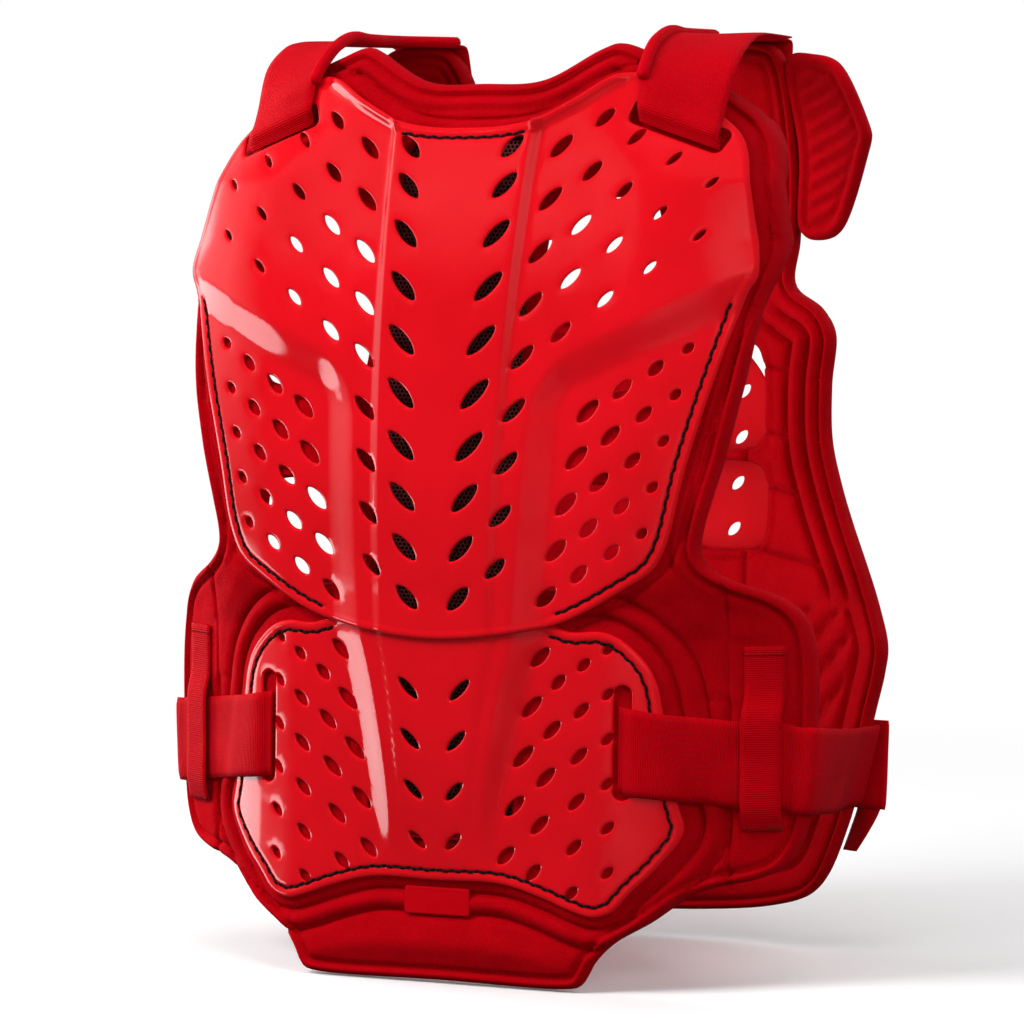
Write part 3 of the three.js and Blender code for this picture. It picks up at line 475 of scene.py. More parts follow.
def triangulate(edge, holes, step, edge_rings, hole_rings=(), extra=()):
    """Even triangles in a plan, with rings of points that follow its edges."""
    to_edge, to_holes = distance_to([edge]), distance_to(holes)
    placed = [edge] + list(holes)
    fixed = np.vstack(placed)
    for ring in edge_rings:
        loop = offset_loop(edge, ring)
        loop = loop[inside_loop(loop, edge)]
        loop = loop[(to_edge(loop) > ring * 0.95) & (to_holes(loop) > 0.6)]
        fixed = np.vstack([fixed, clear_of(loop, fixed, ring * 0.25 if ring < 1 else 0.5)])
    for ring in hole_rings:
        for hole in holes:
            loop = offset_loop(hole, -ring)
            loop = loop[inside_loop(loop, edge)]
            loop = loop[(to_holes(loop) > ring * 0.93) & (to_edge(loop) > 0.6)]
            fixed = np.vstack([fixed, loop])
    for line in extra:
        line = line[inside_loop(line, edge)]
        line = line[(to_edge(line) > 0.7) & (to_holes(line) > 0.7)]
        fixed = np.vstack([fixed, clear_of(line, fixed, 0.7)])
    low, high = edge.min(axis=0), edge.max(axis=0)
    rows = [[(x, h) for x in np.arange(low[0] + (i % 2) * step / 2, high[0], step)]
            for i, h in enumerate(np.arange(low[1], high[1], step * 0.866))]
    grid = np.vstack(rows)
    grid = clear_of(grid[inside_loop(grid, edge)], fixed, step * 0.62)
    points = np.vstack([fixed, grid])
    spans, start = [], 0
    for loop in placed:
        n = len(loop)
        spans += [(start + k, start + (k + 1) % n) for k in range(n)]
        start += n
    flat = [Vector((float(x), float(h))) for x, h in points]
    verts, _, faces, _, _, _ = delaunay_2d_cdt(flat, spans, [], 0, 1e-5)
    plan = np.array([(v.x, v.y) for v in verts])
    faces = np.array([f for f in faces if len(f) == 3])
    centre = plan[faces].mean(axis=1)
    keep = inside_loop(centre, edge)
    for hole in holes:
        near = np.all((centre > hole.min(axis=0)) & (centre < hole.max(axis=0)), axis=1)
        at = np.flatnonzero(near)
        keep[at[inside_loop(centre[at], hole)]] = False
    faces = faces[keep]
    a, b, c = plan[faces[:, 0]], plan[faces[:, 1]], plan[faces[:, 2]]
    cross = (b - a)[:, 0] * (c - a)[:, 1] - (b - a)[:, 1] * (c - a)[:, 0]
    faces[cross < 0] = faces[cross < 0][:, ::-1]
    used, faces = np.unique(faces, return_inverse=True)
    plan, faces = plan[used], faces.reshape(-1, 3)
    return plan, faces, to_edge(plan), to_holes(plan)


def add_object(name, points, faces, material, attributes=None):
    """Mesh object from points in metres."""
    mesh = bpy.data.meshes.new(name)
    mesh.from_pydata(np.asarray(points, float).tolist(), [], [list(map(int, f)) for f in faces])
    for key, values in (attributes or {}).items():
        layer = mesh.attributes.new(key, "FLOAT", "POINT")
        layer.data.foreach_set("value", np.asarray(values, np.float32))
    mesh.polygons.foreach_set("use_smooth", [True] * len(mesh.polygons))
    mesh.materials.append(material)
    mesh.update()
    piece = bpy.data.objects.new(name, mesh)
    bpy.context.scene.collection.objects.link(piece)
    return piece


def in_frame(x, y, h):
    return np.column_stack([x, y, h - SHOULDER_HEIGHT]) * MM


def panel(name, plan, faces, front, back, material):
    """Closed shell between two faces over a triangulated plan."""
    x, h = plan.T
    count = len(plan)
    points = np.vstack([in_frame(x, front, h), in_frame(x, back, h)])
    spans = dict.fromkeys((f[k], f[(k + 1) % 3]) for f in faces.tolist() for k in range(3))
    walls = [(b, a, a + count, b + count) for a, b in spans if (b, a) not in spans]
    every = [*faces, *(faces[:, ::-1] + count), *walls]
    return add_object(name, points, every, material)


def skin(rows, sides, start=0):
    """Faces of a closed tube of rows of points, each with a number of sides."""
    faces = []
    for r in range(rows - 1):
        low, high = start + r * sides, start + (r + 1) * sides
        for s in range(sides):
            n = (s + 1) % sides
            faces.append((low + s, low + n, high + n, high + s))
    last = start + (rows - 1) * sides
    return faces + [tuple(start + s for s in reversed(range(sides))),
                    tuple(last + s for s in range(sides))]


def rounded(d, radius):
    """Fall of an edge rounded to radius, at distance d from it."""
    past = np.clip(radius - d, 0, radius)
    return radius - np.sqrt(np.maximum(0, radius * radius - past * past))


# Materials
class Paint:
    """Nodes of a material or world, with its coordinates at hand."""

    def __init__(self, owner, coordinates="Object"):
        owner.use_nodes = True
        self.tree = owner.node_tree
        self.tree.nodes.clear()
        self.place = self.node("TexCoord").outputs[coordinates]

    def node(self, kind, inputs=None, **settings):
        made = self.tree.nodes.new("ShaderNode" + kind)
        for key, value in settings.items():
            setattr(made, key, value)
        for key, value in (inputs or {}).items():
            socket = made.inputs[key]
            if isinstance(value, bpy.types.NodeSocket):
                self.tree.links.new(value, socket)
            else:
                socket.default_value = (*value, 1) if socket.type == "RGBA" else value
        return made

    def noise(self, scale, detail=3.0):
        inputs = {"Vector": self.place, "Scale": scale, "Detail": detail}
        return self.node("TexNoise", inputs).outputs["Fac"]

    def ranged(self, value, low, high, start=0.3, end=0.7):
        """low to high as value goes from start to end."""
        inputs = {"Value": value, "From Min": start, "From Max": end, "To Min": low, "To Max": high}
        return self.node("MapRange", inputs).outputs["Result"]

    def blend(self, factor, a, b):
        return self.node("Mix", {0: factor, 6: a, 7: b}, data_type="RGBA").outputs[2]

    def math(self, operation, a, b=0.0):
        return self.node("Math", {0: a, 1: b}, operation=operation).outputs["Value"]

    def wave(self, value, turns):
        return self.math("SINE", self.math("MULTIPLY", value, turns))

    def bump(self, *heights):
        """Bump nodes in a chain: each (height, strength, distance in metres)."""
        last = {}
        for height, strength, distance in heights:
            inputs = {"Height": height, "Strength": strength, "Distance": distance, **last}
            last = {"Normal": self.node("Bump", inputs).outputs["Normal"]}
        return last["Normal"]


def new_material(name, surface):
    """Material whose shader has the sockets that surface gives."""
    material = bpy.data.materials.new(name)
    paint = Paint(material)
    shader = paint.node("BsdfPrincipled", surface(paint))
    paint.node("OutputMaterial", {"Surface": shader.outputs["BSDF"]})
    return material


def gloss_plastic(name, colour, dark, worn):
    """Moulded plastic with a soft orange peel, paler where an edge is rubbed."""
    def surface(paint):
        cloudy, peel = paint.noise(14.0), paint.noise(420.0, 2.0)
        edge = paint.node("NewGeometry").outputs["Pointiness"]
        base = paint.blend(paint.ranged(cloudy, 0.0, 1.0), dark, colour)
        return {"Base Color": paint.blend(paint.ranged(edge, 0.0, 0.35, 0.54, 0.62), base, worn),
                "Roughness": paint.ranged(paint.noise(60.0, 5.0), 0.07, 0.12),
                "IOR": 1.5, "Coat Weight": 0.3, "Coat Roughness": 0.05,
                "Normal": paint.bump((cloudy, 0.15, 0.0006), (peel, 0.12, 0.00006))}
    return new_material(name, surface)


def knitted(name, colour, dark, pitch=0.0011, quilted=True):
    """Matt knitted cloth: fine loops in two directions, soft fuzz and uneven dye."""
    def surface(paint):
        x, y, z = paint.node("SeparateXYZ", {"Vector": paint.place}).outputs
        turns = 2 * math.pi / pitch
        loops = paint.math("MULTIPLY", paint.wave(paint.math("ADD", x, y), turns),
                           paint.wave(z, turns * 0.8))
        fuzz = paint.noise(900.0)
        base = paint.blend(paint.ranged(paint.noise(22.0, 4.0), 0.0, 1.0), dark, colour)
        pale = tuple(min(1.0, c * 1.45) for c in colour)
        crumple = [(paint.noise(55.0), 0.6, 0.0024)] if quilted else []
        return {"Base Color": paint.blend(paint.ranged(fuzz, 0.0, 0.35, 0.45, 0.75), base, pale),
                "Roughness": paint.ranged(paint.noise(90.0, 5.0), 0.78, 0.95),
                "Sheen Weight": 0.08, "Sheen Roughness": 0.45, "Sheen Tint": (1.0, 0.05, 0.12),
                "Specular IOR Level": 0.12, "Specular Tint": (1.0, 0.12, 0.18),
                "Normal": paint.bump(*crumple, (loops, 0.5, 0.00018), (fuzz, 0.35, 0.00025))}
    return new_material(name, surface)


def webbing(name, colour, dark, pitch=0.0013):
    """Woven band: ribs across it and yarns along it, from its own run and side; painted shade
    darkens the valleys between the ribs.
    """
    def surface(paint):
        run, side = (paint.node("Attribute", attribute_name=key).outputs["Fac"]
                     for key in ("run", "side"))
        turns = 2 * math.pi / pitch
        ribs, yarns = paint.wave(run, turns), paint.wave(side, turns * 1.4)
        fuzz = paint.noise(1200.0)
        base = paint.blend(paint.ranged(paint.noise(30.0, 4.0), 0.0, 1.0), dark, colour)
        # Painted shade: the low parts of the ribs get a darker base colour
        valley = tuple(c * 0.45 for c in dark)
        return {"Base Color": paint.blend(paint.ranged(ribs, 0.35, 0.0, -1.0, 0.2), base, valley),
                "Roughness": paint.ranged(fuzz, 0.55, 0.8),
                "Sheen Weight": 0.08, "Sheen Tint": (1.0, 0.05, 0.12),
                "Specular IOR Level": 0.15, "Specular Tint": (1.0, 0.15, 0.2),
                "Normal": paint.bump((ribs, 0.6, 0.00022), (yarns, 0.3, 0.0001),
                                     (fuzz, 0.25, 0.0001))}
    return new_material(name, surface)


def plain_thread(name, colour):
    def surface(paint):
        twist = paint.noise(1500.0, 2.0)
        shade = tuple(c * 0.4 for c in colour)
        return {"Base Color": paint.blend(twist, shade, colour), "Roughness": 0.7,
                "Normal": paint.bump((twist, 0.5, 0.0001))}
    return new_material(name, surface)


GLOSS_RED = gloss_plastic("gloss_red_plastic", (0.74, 0.003, 0.010), (0.64, 0.002, 0.007),
                          (0.82, 0.015, 0.025))
CLOTH_RED = knitted("red_knit", (0.45, 0.001, 0.005), (0.33, 0.0006, 0.003))
RIM_RED = knitted("red_binding", (0.52, 0.001, 0.007), (0.42, 0.0006, 0.004), 0.0008, False)
WEB_RED = webbing("red_webbing", (0.55, 0.001, 0.006), (0.45, 0.0006, 0.004))
NET_DARK = plain_thread("net_yarn", (0.30, 0.055, 0.055))
# Painted shade: black cloth behind the net that darkens the inside seen through its cells
PAINTED_SHADE_BLACK = knitted("painted_shade_black_knit", (0.012, 0.006, 0.007), (0.007, 0.004, 0.005), 0.0009, False)
THREAD_BLACK = plain_thread("black_thread", (0.008, 0.005, 0.006))
THREAD_RED = plain_thread("red_thread", (0.16, 0.001, 0.004))


def dress(piece, nodes=()):
    """What every piece tells the frame."""
    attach(piece, "root")
    if nodes:
        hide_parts(*nodes)
    return piece


# Plates
PLATE_RINGS = (0.35, 0.8, 1.5, 2.6, 4.2, 5.2, 6.0, 6.8, 7.8, 9.4)
HOLE_RINGS = (0.35, 0.8, 1.5, 2.4)
GROOVE_IN, GROOVE_DEPTH, GROOVE_HALF = 6.0, 0.9, 1.3
LIP_IN, LIP_RISE, LIP_HALF = 2.6, 0.5, 2.4
DISH_DEPTH, DISH_REACH = 0.35, 1.6
NECK_BEVEL, NECK_RISE = 8.0, 4.5


def neck_distance(x, h):
    """Distance to the line from the collar corner up to the horn."""
    line = [CHEST_PLATE_EDGE[k] for k in (2, 3, 4)]
    line = [(a * UPPER_HALF, UPPER_FOOT + u * UPPER_HEIGHT) for a, u in line]
    side = np.abs(x)
    best = np.full(np.shape(x), 1e3)
    for (ax, ah), (bx, bh) in zip(line, line[1:]):
        span = math.hypot(bx - ax, bh - ah)
        t = clamp(((side - ax) * (bx - ax) + (h - ah) * (bh - ah)) / span ** 2)
        best = np.minimum(best, np.hypot(side - mix(ax, bx, t), h - mix(ah, bh, t)))
    return best


def neck_rise(x, h):
    """The centre strip's bevel goes on along the collar to the horns."""
    rise = NECK_RISE * (1 - clamp(neck_distance(x, h) / NECK_BEVEL))
    return np.where(np.abs(x) > ridge_half(h), rise, 0)


def necked_front(x, h):
    return chest_front(x, h) - neck_rise(x, h)


def both_halves(across, up):
    """A line of points on the right and its mirror image."""
    line = np.column_stack(np.broadcast_arrays(across, up))
    return [line, line * (-1, 1)]


def ridge_lines():
    """Rows of points along the bevels of the centre strip."""
    heights = np.arange(UPPER_FOOT, UPPER_FOOT + UPPER_HEIGHT, 2.5)
    rows = []
    for share in (-0.12, 0.1, 0.5, 0.9, 1.12):
        rows += both_halves(ridge_half(heights) + share * RIDGE_SLOPE, heights)
    return rows


def stitched_on_chest(x, h):
    collar = (np.abs(x) < 0.235 * UPPER_HALF) & (h > UPPER_FOOT + 0.8 * UPPER_HEIGHT)
    sides = (h < UPPER_FOOT + 0.6 * UPPER_HEIGHT) & (np.abs(x) > 0.4 * UPPER_HALF)
    return collar | sides


def stitched_on_belly(x, h):
    return (h < UPPER_FOOT + 2) | (np.abs(x) > 0.47 * LOWER_HALF)


def outer_fall(to_edge, to_holes, stitched):
    """Fall of a plate's outer face: stitching groove, raised lip and round rims."""
    groove = GROOVE_DEPTH * bump(to_edge, GROOVE_IN, GROOVE_HALF) * stitched
    lip = LIP_RISE * bump(to_edge, LIP_IN, LIP_HALF)
    return groove - lip + rounded(to_edge, 1.3) + rounded(to_holes, 1.0)


def inner_fall(to_edge, to_holes):
    return rounded(to_edge, 0.9) + rounded(to_holes, 0.7)


def plate(name, edge, holes, front, stitched, extra=()):
    plan, faces, to_edge, to_holes = triangulate(edge, holes, 3.2, PLATE_RINGS, HOLE_RINGS, extra)
    x, h = plan.T
    y = front(x, h)
    dish = DISH_DEPTH * np.exp(-(to_holes / DISH_REACH) ** 2)
    face = y + outer_fall(to_edge, to_holes, stitched(x, h)) + dish
    rear = y + wall_depth(front_forward, x, h, PLATE_WALL) - inner_fall(to_edge, to_holes)
    piece = panel(name, plan, faces, face, rear, GLOSS_RED)
    dress(piece, [name.replace("_shell", "")])


def slots(across, up, width, height, radius, tilt, step):
    return [round_box(side * across, up, width, height, radius, side * tilt, step)
            for side in (1, -1)]


def build_front_plates():
    edge = outline(CHEST_PLATE_EDGE, UPPER_SIZE, EDGE_STEP)
    holes = lens_holes(CHEST_HOLES, UPPER_SIZE)
    holes += slots(SHOULDER_SLOT_ACROSS, SHOULDER_SLOT_UP, SHOULDER_SLOT_LENGTH,
                   SHOULDER_SLOT_WIDTH, 4, SHOULDER_STRAP_TILT, 1.6)
    plate("chest_plate_shell", edge, holes, necked_front, stitched_on_chest, ridge_lines())
    edge = outline(BELLY_PLATE_EDGE, LOWER_SIZE, EDGE_STEP)
    holes = lens_holes(BELLY_HOLES, LOWER_SIZE)
    holes += slots(SLOT_ACROSS, SLOT_UP, SLOT_WIDTH, SLOT_HEIGHT, 4.9, 0, 1.4)
    plate("belly_plate_shell", edge, holes, belly_front, stitched_on_belly)


def build_back_plate():
    """Seen from behind: a low spine between two shallow channels."""
    edge = outline(BACK_PLATE_EDGE, REAR_SIZE, EDGE_STEP)
    holes = lens_holes(BACK_HOLES, REAR_SIZE)
    plan, faces, to_edge, to_holes = triangulate(edge, holes, 4.0, PLATE_RINGS, HOLE_RINGS)
    x, h = plan.T
    spine = 1.2 * bump(np.abs(x), 0, 16) - 0.8 * bump(np.abs(x), 24, 8)
    face = rear_front(x, h) + inner_fall(to_edge, to_holes)
    rear = rear_back(x, h) + spine * ease(to_edge / 30) - outer_fall(to_edge, to_holes, 1)
    piece = panel("back_plate_shell", plan, faces, face, rear, GLOSS_RED)
    dress(piece, ["back_plate"])


CAPSULE = ((-0.5, 0.25), (-0.42, 0.8), (0, 1.0), (0.42, 0.8), (0.5, 0.25))
CAPSULE_SIDES = 6


def capsules(name, lines, length, radius, material, weave=0.0):
    """Short threads laid end to end along lines, each (points, the way they face)."""
    verts, faces = [], []
    for points, facing in lines:
        for k, (a, b) in enumerate(zip(map(Vector, points), map(Vector, points[1:]))):
            if (b - a).length > length * 2.2:
                continue
            way = (b - a).normalized()
            across = way.cross(Vector(facing)).normalized()
            up = across.cross(way).normalized()
            swing = across * weave * (1 if k % 2 else -1)
            middle = (a + b) / 2 + swing
            lean = (way + swing * 0.35 / radius).normalized()
            faces += skin(len(CAPSULE), CAPSULE_SIDES, len(verts))
            for t, size in CAPSULE:
                for s in range(CAPSULE_SIDES):
                    angle = 2 * math.pi * s / CAPSULE_SIDES
                    ring = across * math.cos(angle) + up * math.sin(angle)
                    verts.append(tuple(middle + lean * length * t + ring * radius * size))
    return add_object(name, verts, faces, material)


STITCH_PITCH, STITCH_LENGTH, STITCH_RADIUS = 4.0, 4.2, 1.0
STITCH_SINK, STITCH_WEAVE = 0.3, 0.3


def stitch_row(name, edge, front, stitched):
    """Stitches in the groove of a plate, where stitched says so."""
    loop = even_loop(offset_loop(edge, GROOVE_IN), STITCH_PITCH)
    loop = np.vstack([loop, loop[:1]])
    x, h = loop[stitched(*loop.T)].T
    points = in_frame(x, front(x, h) + STITCH_SINK, h)
    piece = capsules(name, [(points, (0, -1, 0))], STITCH_LENGTH * MM, STITCH_RADIUS * MM,
                     THREAD_BLACK, STITCH_WEAVE * MM)
    dress(piece)


def build_stitching():
    edge = outline(CHEST_PLATE_EDGE, UPPER_SIZE, EDGE_STEP)
    stitch_row("chest_stitching", edge, chest_front, stitched_on_chest)
    edge = outline(BELLY_PLATE_EDGE, LOWER_SIZE, EDGE_STEP)
    stitch_row("belly_stitching", edge, belly_front, stitched_on_belly)


# Padded panels
PAD_RINGS = (0.8, 1.8, 3.0, 4.4, 6.0, 7.6, 9.0, 10.6, 12.4, 14.4, 16.6)
WINDOW_RINGS = (0.8, 1.8, 3.0, 4.5, 6.2, 8.2)
# Rings of mesh around the plates, and lines of mesh beside a seam
BELLY_RINGS = (5.6, 6.6, 7.5, 8.4, 9.6, 11.5, 13.5, 15.5, 17.6, 18.8, 20, 21.2, 22.6)
CHEST_RINGS = (3.2, 4.1, 5, 5.9, 6.9)
BESIDE_SEAM = (-2.2, -1.1, 0, 1.1, 2.2)
LINE_STEP = 2.4


def seam(d, centre, width, depth, where=1):
    """A sewn line: a narrow valley with soft shoulders."""
    return depth * (0.7 * bump(d, centre, width) + 0.3 * bump(d, centre, width * 2.6)) * where


def roll(d, centre, width, rise, where=1):
    return rise * bump(d, centre, width) * where


FRONT_FOLD = 1.8
FLAP_SEAM, FLAP_SEAM_FOOT, FLAP_SEAM_TOP = 166, 60, 235
FLAP_CROSS_SEAM = 168


def under_webbing(side, h):
    """1 where a keeper or the waist strap lies on the front padding."""
    keeper = (1 - ease((np.abs(side - KEEPER_ACROSS) - 13) / 5)) * (h < KEEPER_TOP + 4)
    strap = 1 - ease((np.abs(h - SLOT_UP + 14) - 34) / 6)
    return np.maximum(keeper, strap)


def front_relief(x, h, to_edge):
    """Depth of the folds on the front padding's face, positive into the pad."""
    side = np.abs(x)
    points = np.column_stack([x, h])
    belly = outline(BELLY_PLATE_EDGE, LOWER_SIZE, 3)
    chest = outline(CHEST_PLATE_EDGE, UPPER_SIZE, 3)
    off_belly, off_chest = (distance_to([loop], 2.0)(points) for loop in (belly, chest))
    bare = ~(inside_loop(points, belly) | inside_loop(points, chest))
    upper, low = bare & (h > 240), bare & (h < 250)
    flap = bare & (off_belly > 20) & (h < FLAP_SEAM_TOP) & (h > FLAP_SEAM_FOOT)
    # Distance, its value at the line, half width, depth, where
    seams = [
        (to_edge, 6.8, 1.6, 2.6), (to_edge, 15.5, 1.6, 1.6, upper),
        (off_belly, 7.5, 1.8, 2.2, low), (off_belly, 20, 1.8, 2.4, low),
        (off_chest, 5.0, 1.8, 1.6, bare & (h > UPPER_FOOT)),
        (side, FLAP_SEAM, 1.8, 2.0, flap),
        (h, FLAP_CROSS_SEAM, 1.6, 1.2, flap & (side < FLAP_SEAM)),
    ]
    rolls = [(to_edge, 3.4, 3.2, 1.0), (to_edge, 11.2, 4.5, 0.9, upper),
             (off_belly, 13.5, 5.5, 1.6, low)]
    relief = sum(seam(*line) for line in seams) - sum(roll(*line) for line in rolls)
    puff = 2.2 * ease((np.minimum(to_edge, off_belly - 12) - 8) / 22)
    relief -= puff * low * (1 - under_webbing(side, h))
    hem = bare & (h < 45) & (side < 90)
    return relief - 2.0 * ease((np.minimum(to_edge, off_belly - 20) - 6) / 16) * hem


def build_front_padding():
    edge = outline(FRONT_EDGE, FRONT_SIZE, 3.0)
    holes = windows(FRONT_WINDOWS, FRONT_SIZE) + [column_outline(0)]
    belly = outline(BELLY_PLATE_EDGE, LOWER_SIZE, EDGE_STEP)
    chest = outline(CHEST_PLATE_EDGE, UPPER_SIZE, EDGE_STEP)
    extra = [offset_loop(belly, -out) for out in BELLY_RINGS]
    extra += [offset_loop(chest, -out) for out in CHEST_RINGS]
    upright = np.arange(FLAP_SEAM_FOOT, FLAP_SEAM_TOP, LINE_STEP)
    for off in BESIDE_SEAM:
        extra += both_halves(FLAP_SEAM + off, upright)
    plan, faces, to_edge, to_holes = triangulate(edge, holes, 3.8, PAD_RINGS, WINDOW_RINGS, extra)
    x, h = plan.T
    relief = front_relief(x, h, to_edge)
    relief = np.where(relief > 0, relief * FRONT_FOLD, relief)
    front = pad_front(x, h)
    face = front + relief + rounded(to_edge, 5.0) + rounded(to_holes, 3.5)
    face += seam(to_holes, 5.5, 1.5, 1.4)
    # Inside, against the body: long quilted channels
    quilt = 1.5 * np.abs(np.sin((x * 0.35 + h) * math.pi / 34)) ** 0.6
    inner = np.minimum(to_edge, to_holes + 4)
    rear = pad_back(x, h) + quilt * ease((inner - 9) / 10) - 1.4
    rear -= seam(to_edge, 8.0, 1.8, 2.4) + seam(to_holes, 6.0, 1.6, 1.8)
    rear -= rounded(to_edge, 5.5) + rounded(to_holes, 4.0)
    piece = panel("front_padding", plan, faces, face, rear, CLOTH_RED)
    dress(piece, ["front_panel"])


def diagonal_ribs(x, h, angle, pitch):
    run = x * math.sin(angle) + h * math.cos(angle)
    return np.abs(np.sin(run * math.pi / pitch)) ** 0.7


BACK_SEAM, BACK_SEAM_TOP = 92, 400
BACK_LEVELS = (238, 278, 312, 352, 388)
LEVEL_FROM, LEVEL_SLANT = 110, 0.18
LEAF_TOP = 205


def back_relief(x, h, to_edge):
    """Depth of the folds on the back padding, positive into the pad."""
    side = np.abs(x)
    waist = ease((h - LEAF_TOP) / 20) * ease((395 - h) / 15) * (side > 95)
    inner = (to_edge > 31) & (side > 96) & (h > 215) & (h < BACK_SEAM_TOP)
    # Distance, its value at the line, half width, depth, where
    seams = [
        (to_edge, 6.2, 1.6, 2.6), (to_edge, 17, 2.2, 3.2, waist), (to_edge, 30, 2.4, 3.6, waist),
        (to_edge, 20, 2.2, 2.8, (h < LEAF_TOP) & (side > 60)),
        (to_edge, 13, 1.8, 1.6, (h > BACK_SEAM_TOP) & (side > 55)),
        (side, BACK_SEAM, 2.0, 2.4, (h < BACK_SEAM_TOP) & (to_edge > 12)),
    ]
    seams += [(h + (side - LEVEL_FROM) * LEVEL_SLANT, level, 2.2, 2.2, inner)
              for level in BACK_LEVELS]
    rolls = [(to_edge, 3.2, 3.0, 0.8), (to_edge, 11.5, 6, 1.6, waist),
             (to_edge, 23.5, 7, 1.8, waist)]
    relief = sum(seam(*line) for line in seams) - sum(roll(*line) for line in rolls)
    leaf = (h < LEAF_TOP) & (h > 62) & (side > BACK_SEAM)
    framed = ease((to_edge - 22) / 5) * ease((side - 96) / 8) * leaf
    relief += (2.6 - 3.4 * diagonal_ribs(side, h, math.radians(-48), 17)) * framed
    cells = np.abs(np.sin(h * math.pi / 46)) ** 0.35
    return relief + 1.8 * (1 - cells) * ((side < BACK_SEAM) & (h < 380) & (to_edge > 14))


BACK_FOLD = 2.1
BACK_RINGS = PAD_RINGS + (18, 19.4, 21, 23, 25.4, 27.6, 29, 30.4, 32)


def build_back_padding():
    edge = outline(BACK_EDGE, BACK_SIZE, 3.0)
    holes = windows(BACK_WINDOWS, BACK_SIZE)
    extra = []
    upright = np.arange(BACK_FOOT + 12, BACK_SEAM_TOP, LINE_STEP)
    for off in BESIDE_SEAM:
        extra += both_halves(BACK_SEAM + off, upright)
    across = np.arange(96, 190, LINE_STEP)
    for level in BACK_LEVELS:
        for off in BESIDE_SEAM:
            extra += both_halves(across, level + off - (across - LEVEL_FROM) * LEVEL_SLANT)
    plan, faces, to_edge, to_holes = triangulate(edge, holes, 3.6, BACK_RINGS, WINDOW_RINGS, extra)
    x, h = plan.T
    relief = back_relief(x, h, to_edge) * BACK_FOLD
    covered = inside_loop(plan, outline(BACK_PLATE_EDGE, REAR_SIZE, 3))
    rims = rounded(to_edge, 6.0) + rounded(to_holes, 4.0)
    inside = back_inside(x, h) + relief + rims + seam(to_holes, 5.8, 1.6, 1.8)
    outer = np.where(covered, np.maximum(relief, 0) * 0.3, relief * 0.6)
    outside = back_outside(x, h) - outer - rims
    piece = panel("back_padding", plan, faces, inside, outside, CLOTH_RED)
    dress(piece, ["back_panel"])


WING_RINGS = (0.8, 1.8, 3, 4.4, 6, 8, 10)
WING_CORNER, WING_ROUND = 7, 4.6


def build_wings():
    for name, side in (("right", 1), ("left", -1)):
        corners = [(side * (a * BACK_HALF + WING_GAP), BACK_FOOT + u * BACK_HEIGHT)
                   for a, u in WING_EDGE]
        middle = np.mean(corners, axis=0)
        loop = soft_loop(corners, WING_CORNER, EDGE_STEP)
        ahead = np.roll(loop, -1, axis=0)
        if np.sum(loop[:, 0] * ahead[:, 1] - ahead[:, 0] * loop[:, 1]) < 0:
            loop = loop[::-1]
        plan, faces, to_edge, _ = triangulate(loop, [], 2.6, WING_RINGS)
        x, h = plan.T
        front = back_inside(x, h) + wall_depth(back_inside, x, h, (BACK_PAD - WING_THICKNESS) / 2)
        rear = front + wall_depth(back_inside, x, h, WING_THICKNESS)
        ribs = diagonal_ribs(side * (x - middle[0]), h, math.radians(-22), 9.6)
        relief = (3.4 - 4.4 * ribs) * ease((to_edge - 8.5) / 3)
        relief += seam(to_edge, 8, 1.8, 2.2) - roll(to_edge, 4, 4, 0.8)
        face = front + relief + rounded(to_edge, WING_ROUND)
        outside = rear - relief * 0.8 - rounded(to_edge, WING_ROUND)
        piece = panel(f"shoulder_wing_pad_{name}", plan, faces, face, outside, CLOTH_RED)
        dress(piece, [f"shoulder_wing_{name}"])


# Net of hexagonal cells
NET_PITCH, NET_STRAND = 2.7, 0.9


def net_depth(x, h):
    return pad_front(x, h) + PAD_THICKNESS / 2 + MESH_THICKNESS / 2


def build_net():
    """Strands along the edges of hexagonal cells, each a thin bar with four sides."""
    edge = column_outline(SEWN + 0.4)
    cell = NET_PITCH / math.sqrt(3)
    low, high = edge.min(axis=0), edge.max(axis=0)
    columns = int((high[0] - low[0]) / NET_PITCH) + 2
    rows = int((high[1] - low[1]) / (cell * 1.5)) + 2
    centres = np.array([(low[0] + (i + (j % 2) / 2) * NET_PITCH, low[1] + j * cell * 1.5)
                        for i in range(columns) for j in range(rows)])
    half = NET_PITCH / 2
    a = np.vstack([centres + (0, cell), centres + (0, cell), centres + (half, cell / 2)])
    b = np.vstack([centres + (half, cell / 2), centres + (-half, cell / 2),
                   centres + (half, -cell / 2)])
    keep = inside_loop(a, edge) & inside_loop(b, edge)
    a, b = a[keep], b[keep]
    start, end = (np.column_stack([p[:, 0], net_depth(*p.T), p[:, 1]]) for p in (a, b))
    way = (b - a) / np.linalg.norm(b - a, axis=1)[:, None]
    across = np.column_stack([-way[:, 1], np.zeros(len(way)), way[:, 0]]) * NET_STRAND / 2
    deep = np.array((0, NET_STRAND / 2, 0))
    corners = [p + off for p in (start, end) for off in (-across, -deep, across, deep)]
    points = np.stack(corners, axis=1).reshape(-1, 3)
    points[:, 2] -= SHOULDER_HEIGHT
    sides = np.array([(0, 1, 5, 4), (1, 2, 6, 5), (2, 3, 7, 6), (3, 0, 4, 7)])
    faces = (np.arange(len(a))[:, None, None] * 8 + sides[None]).reshape(-1, 4)
    piece = add_object("front_net_cells", points * MM, faces, NET_DARK)
    dress(piece, ["front_net"])


# Black sheet behind the net: painted shade where the inside is only in shadow
SHADE_SHEET_GAP, SHADE_SHEET_THICKNESS = 2.2, 0.7


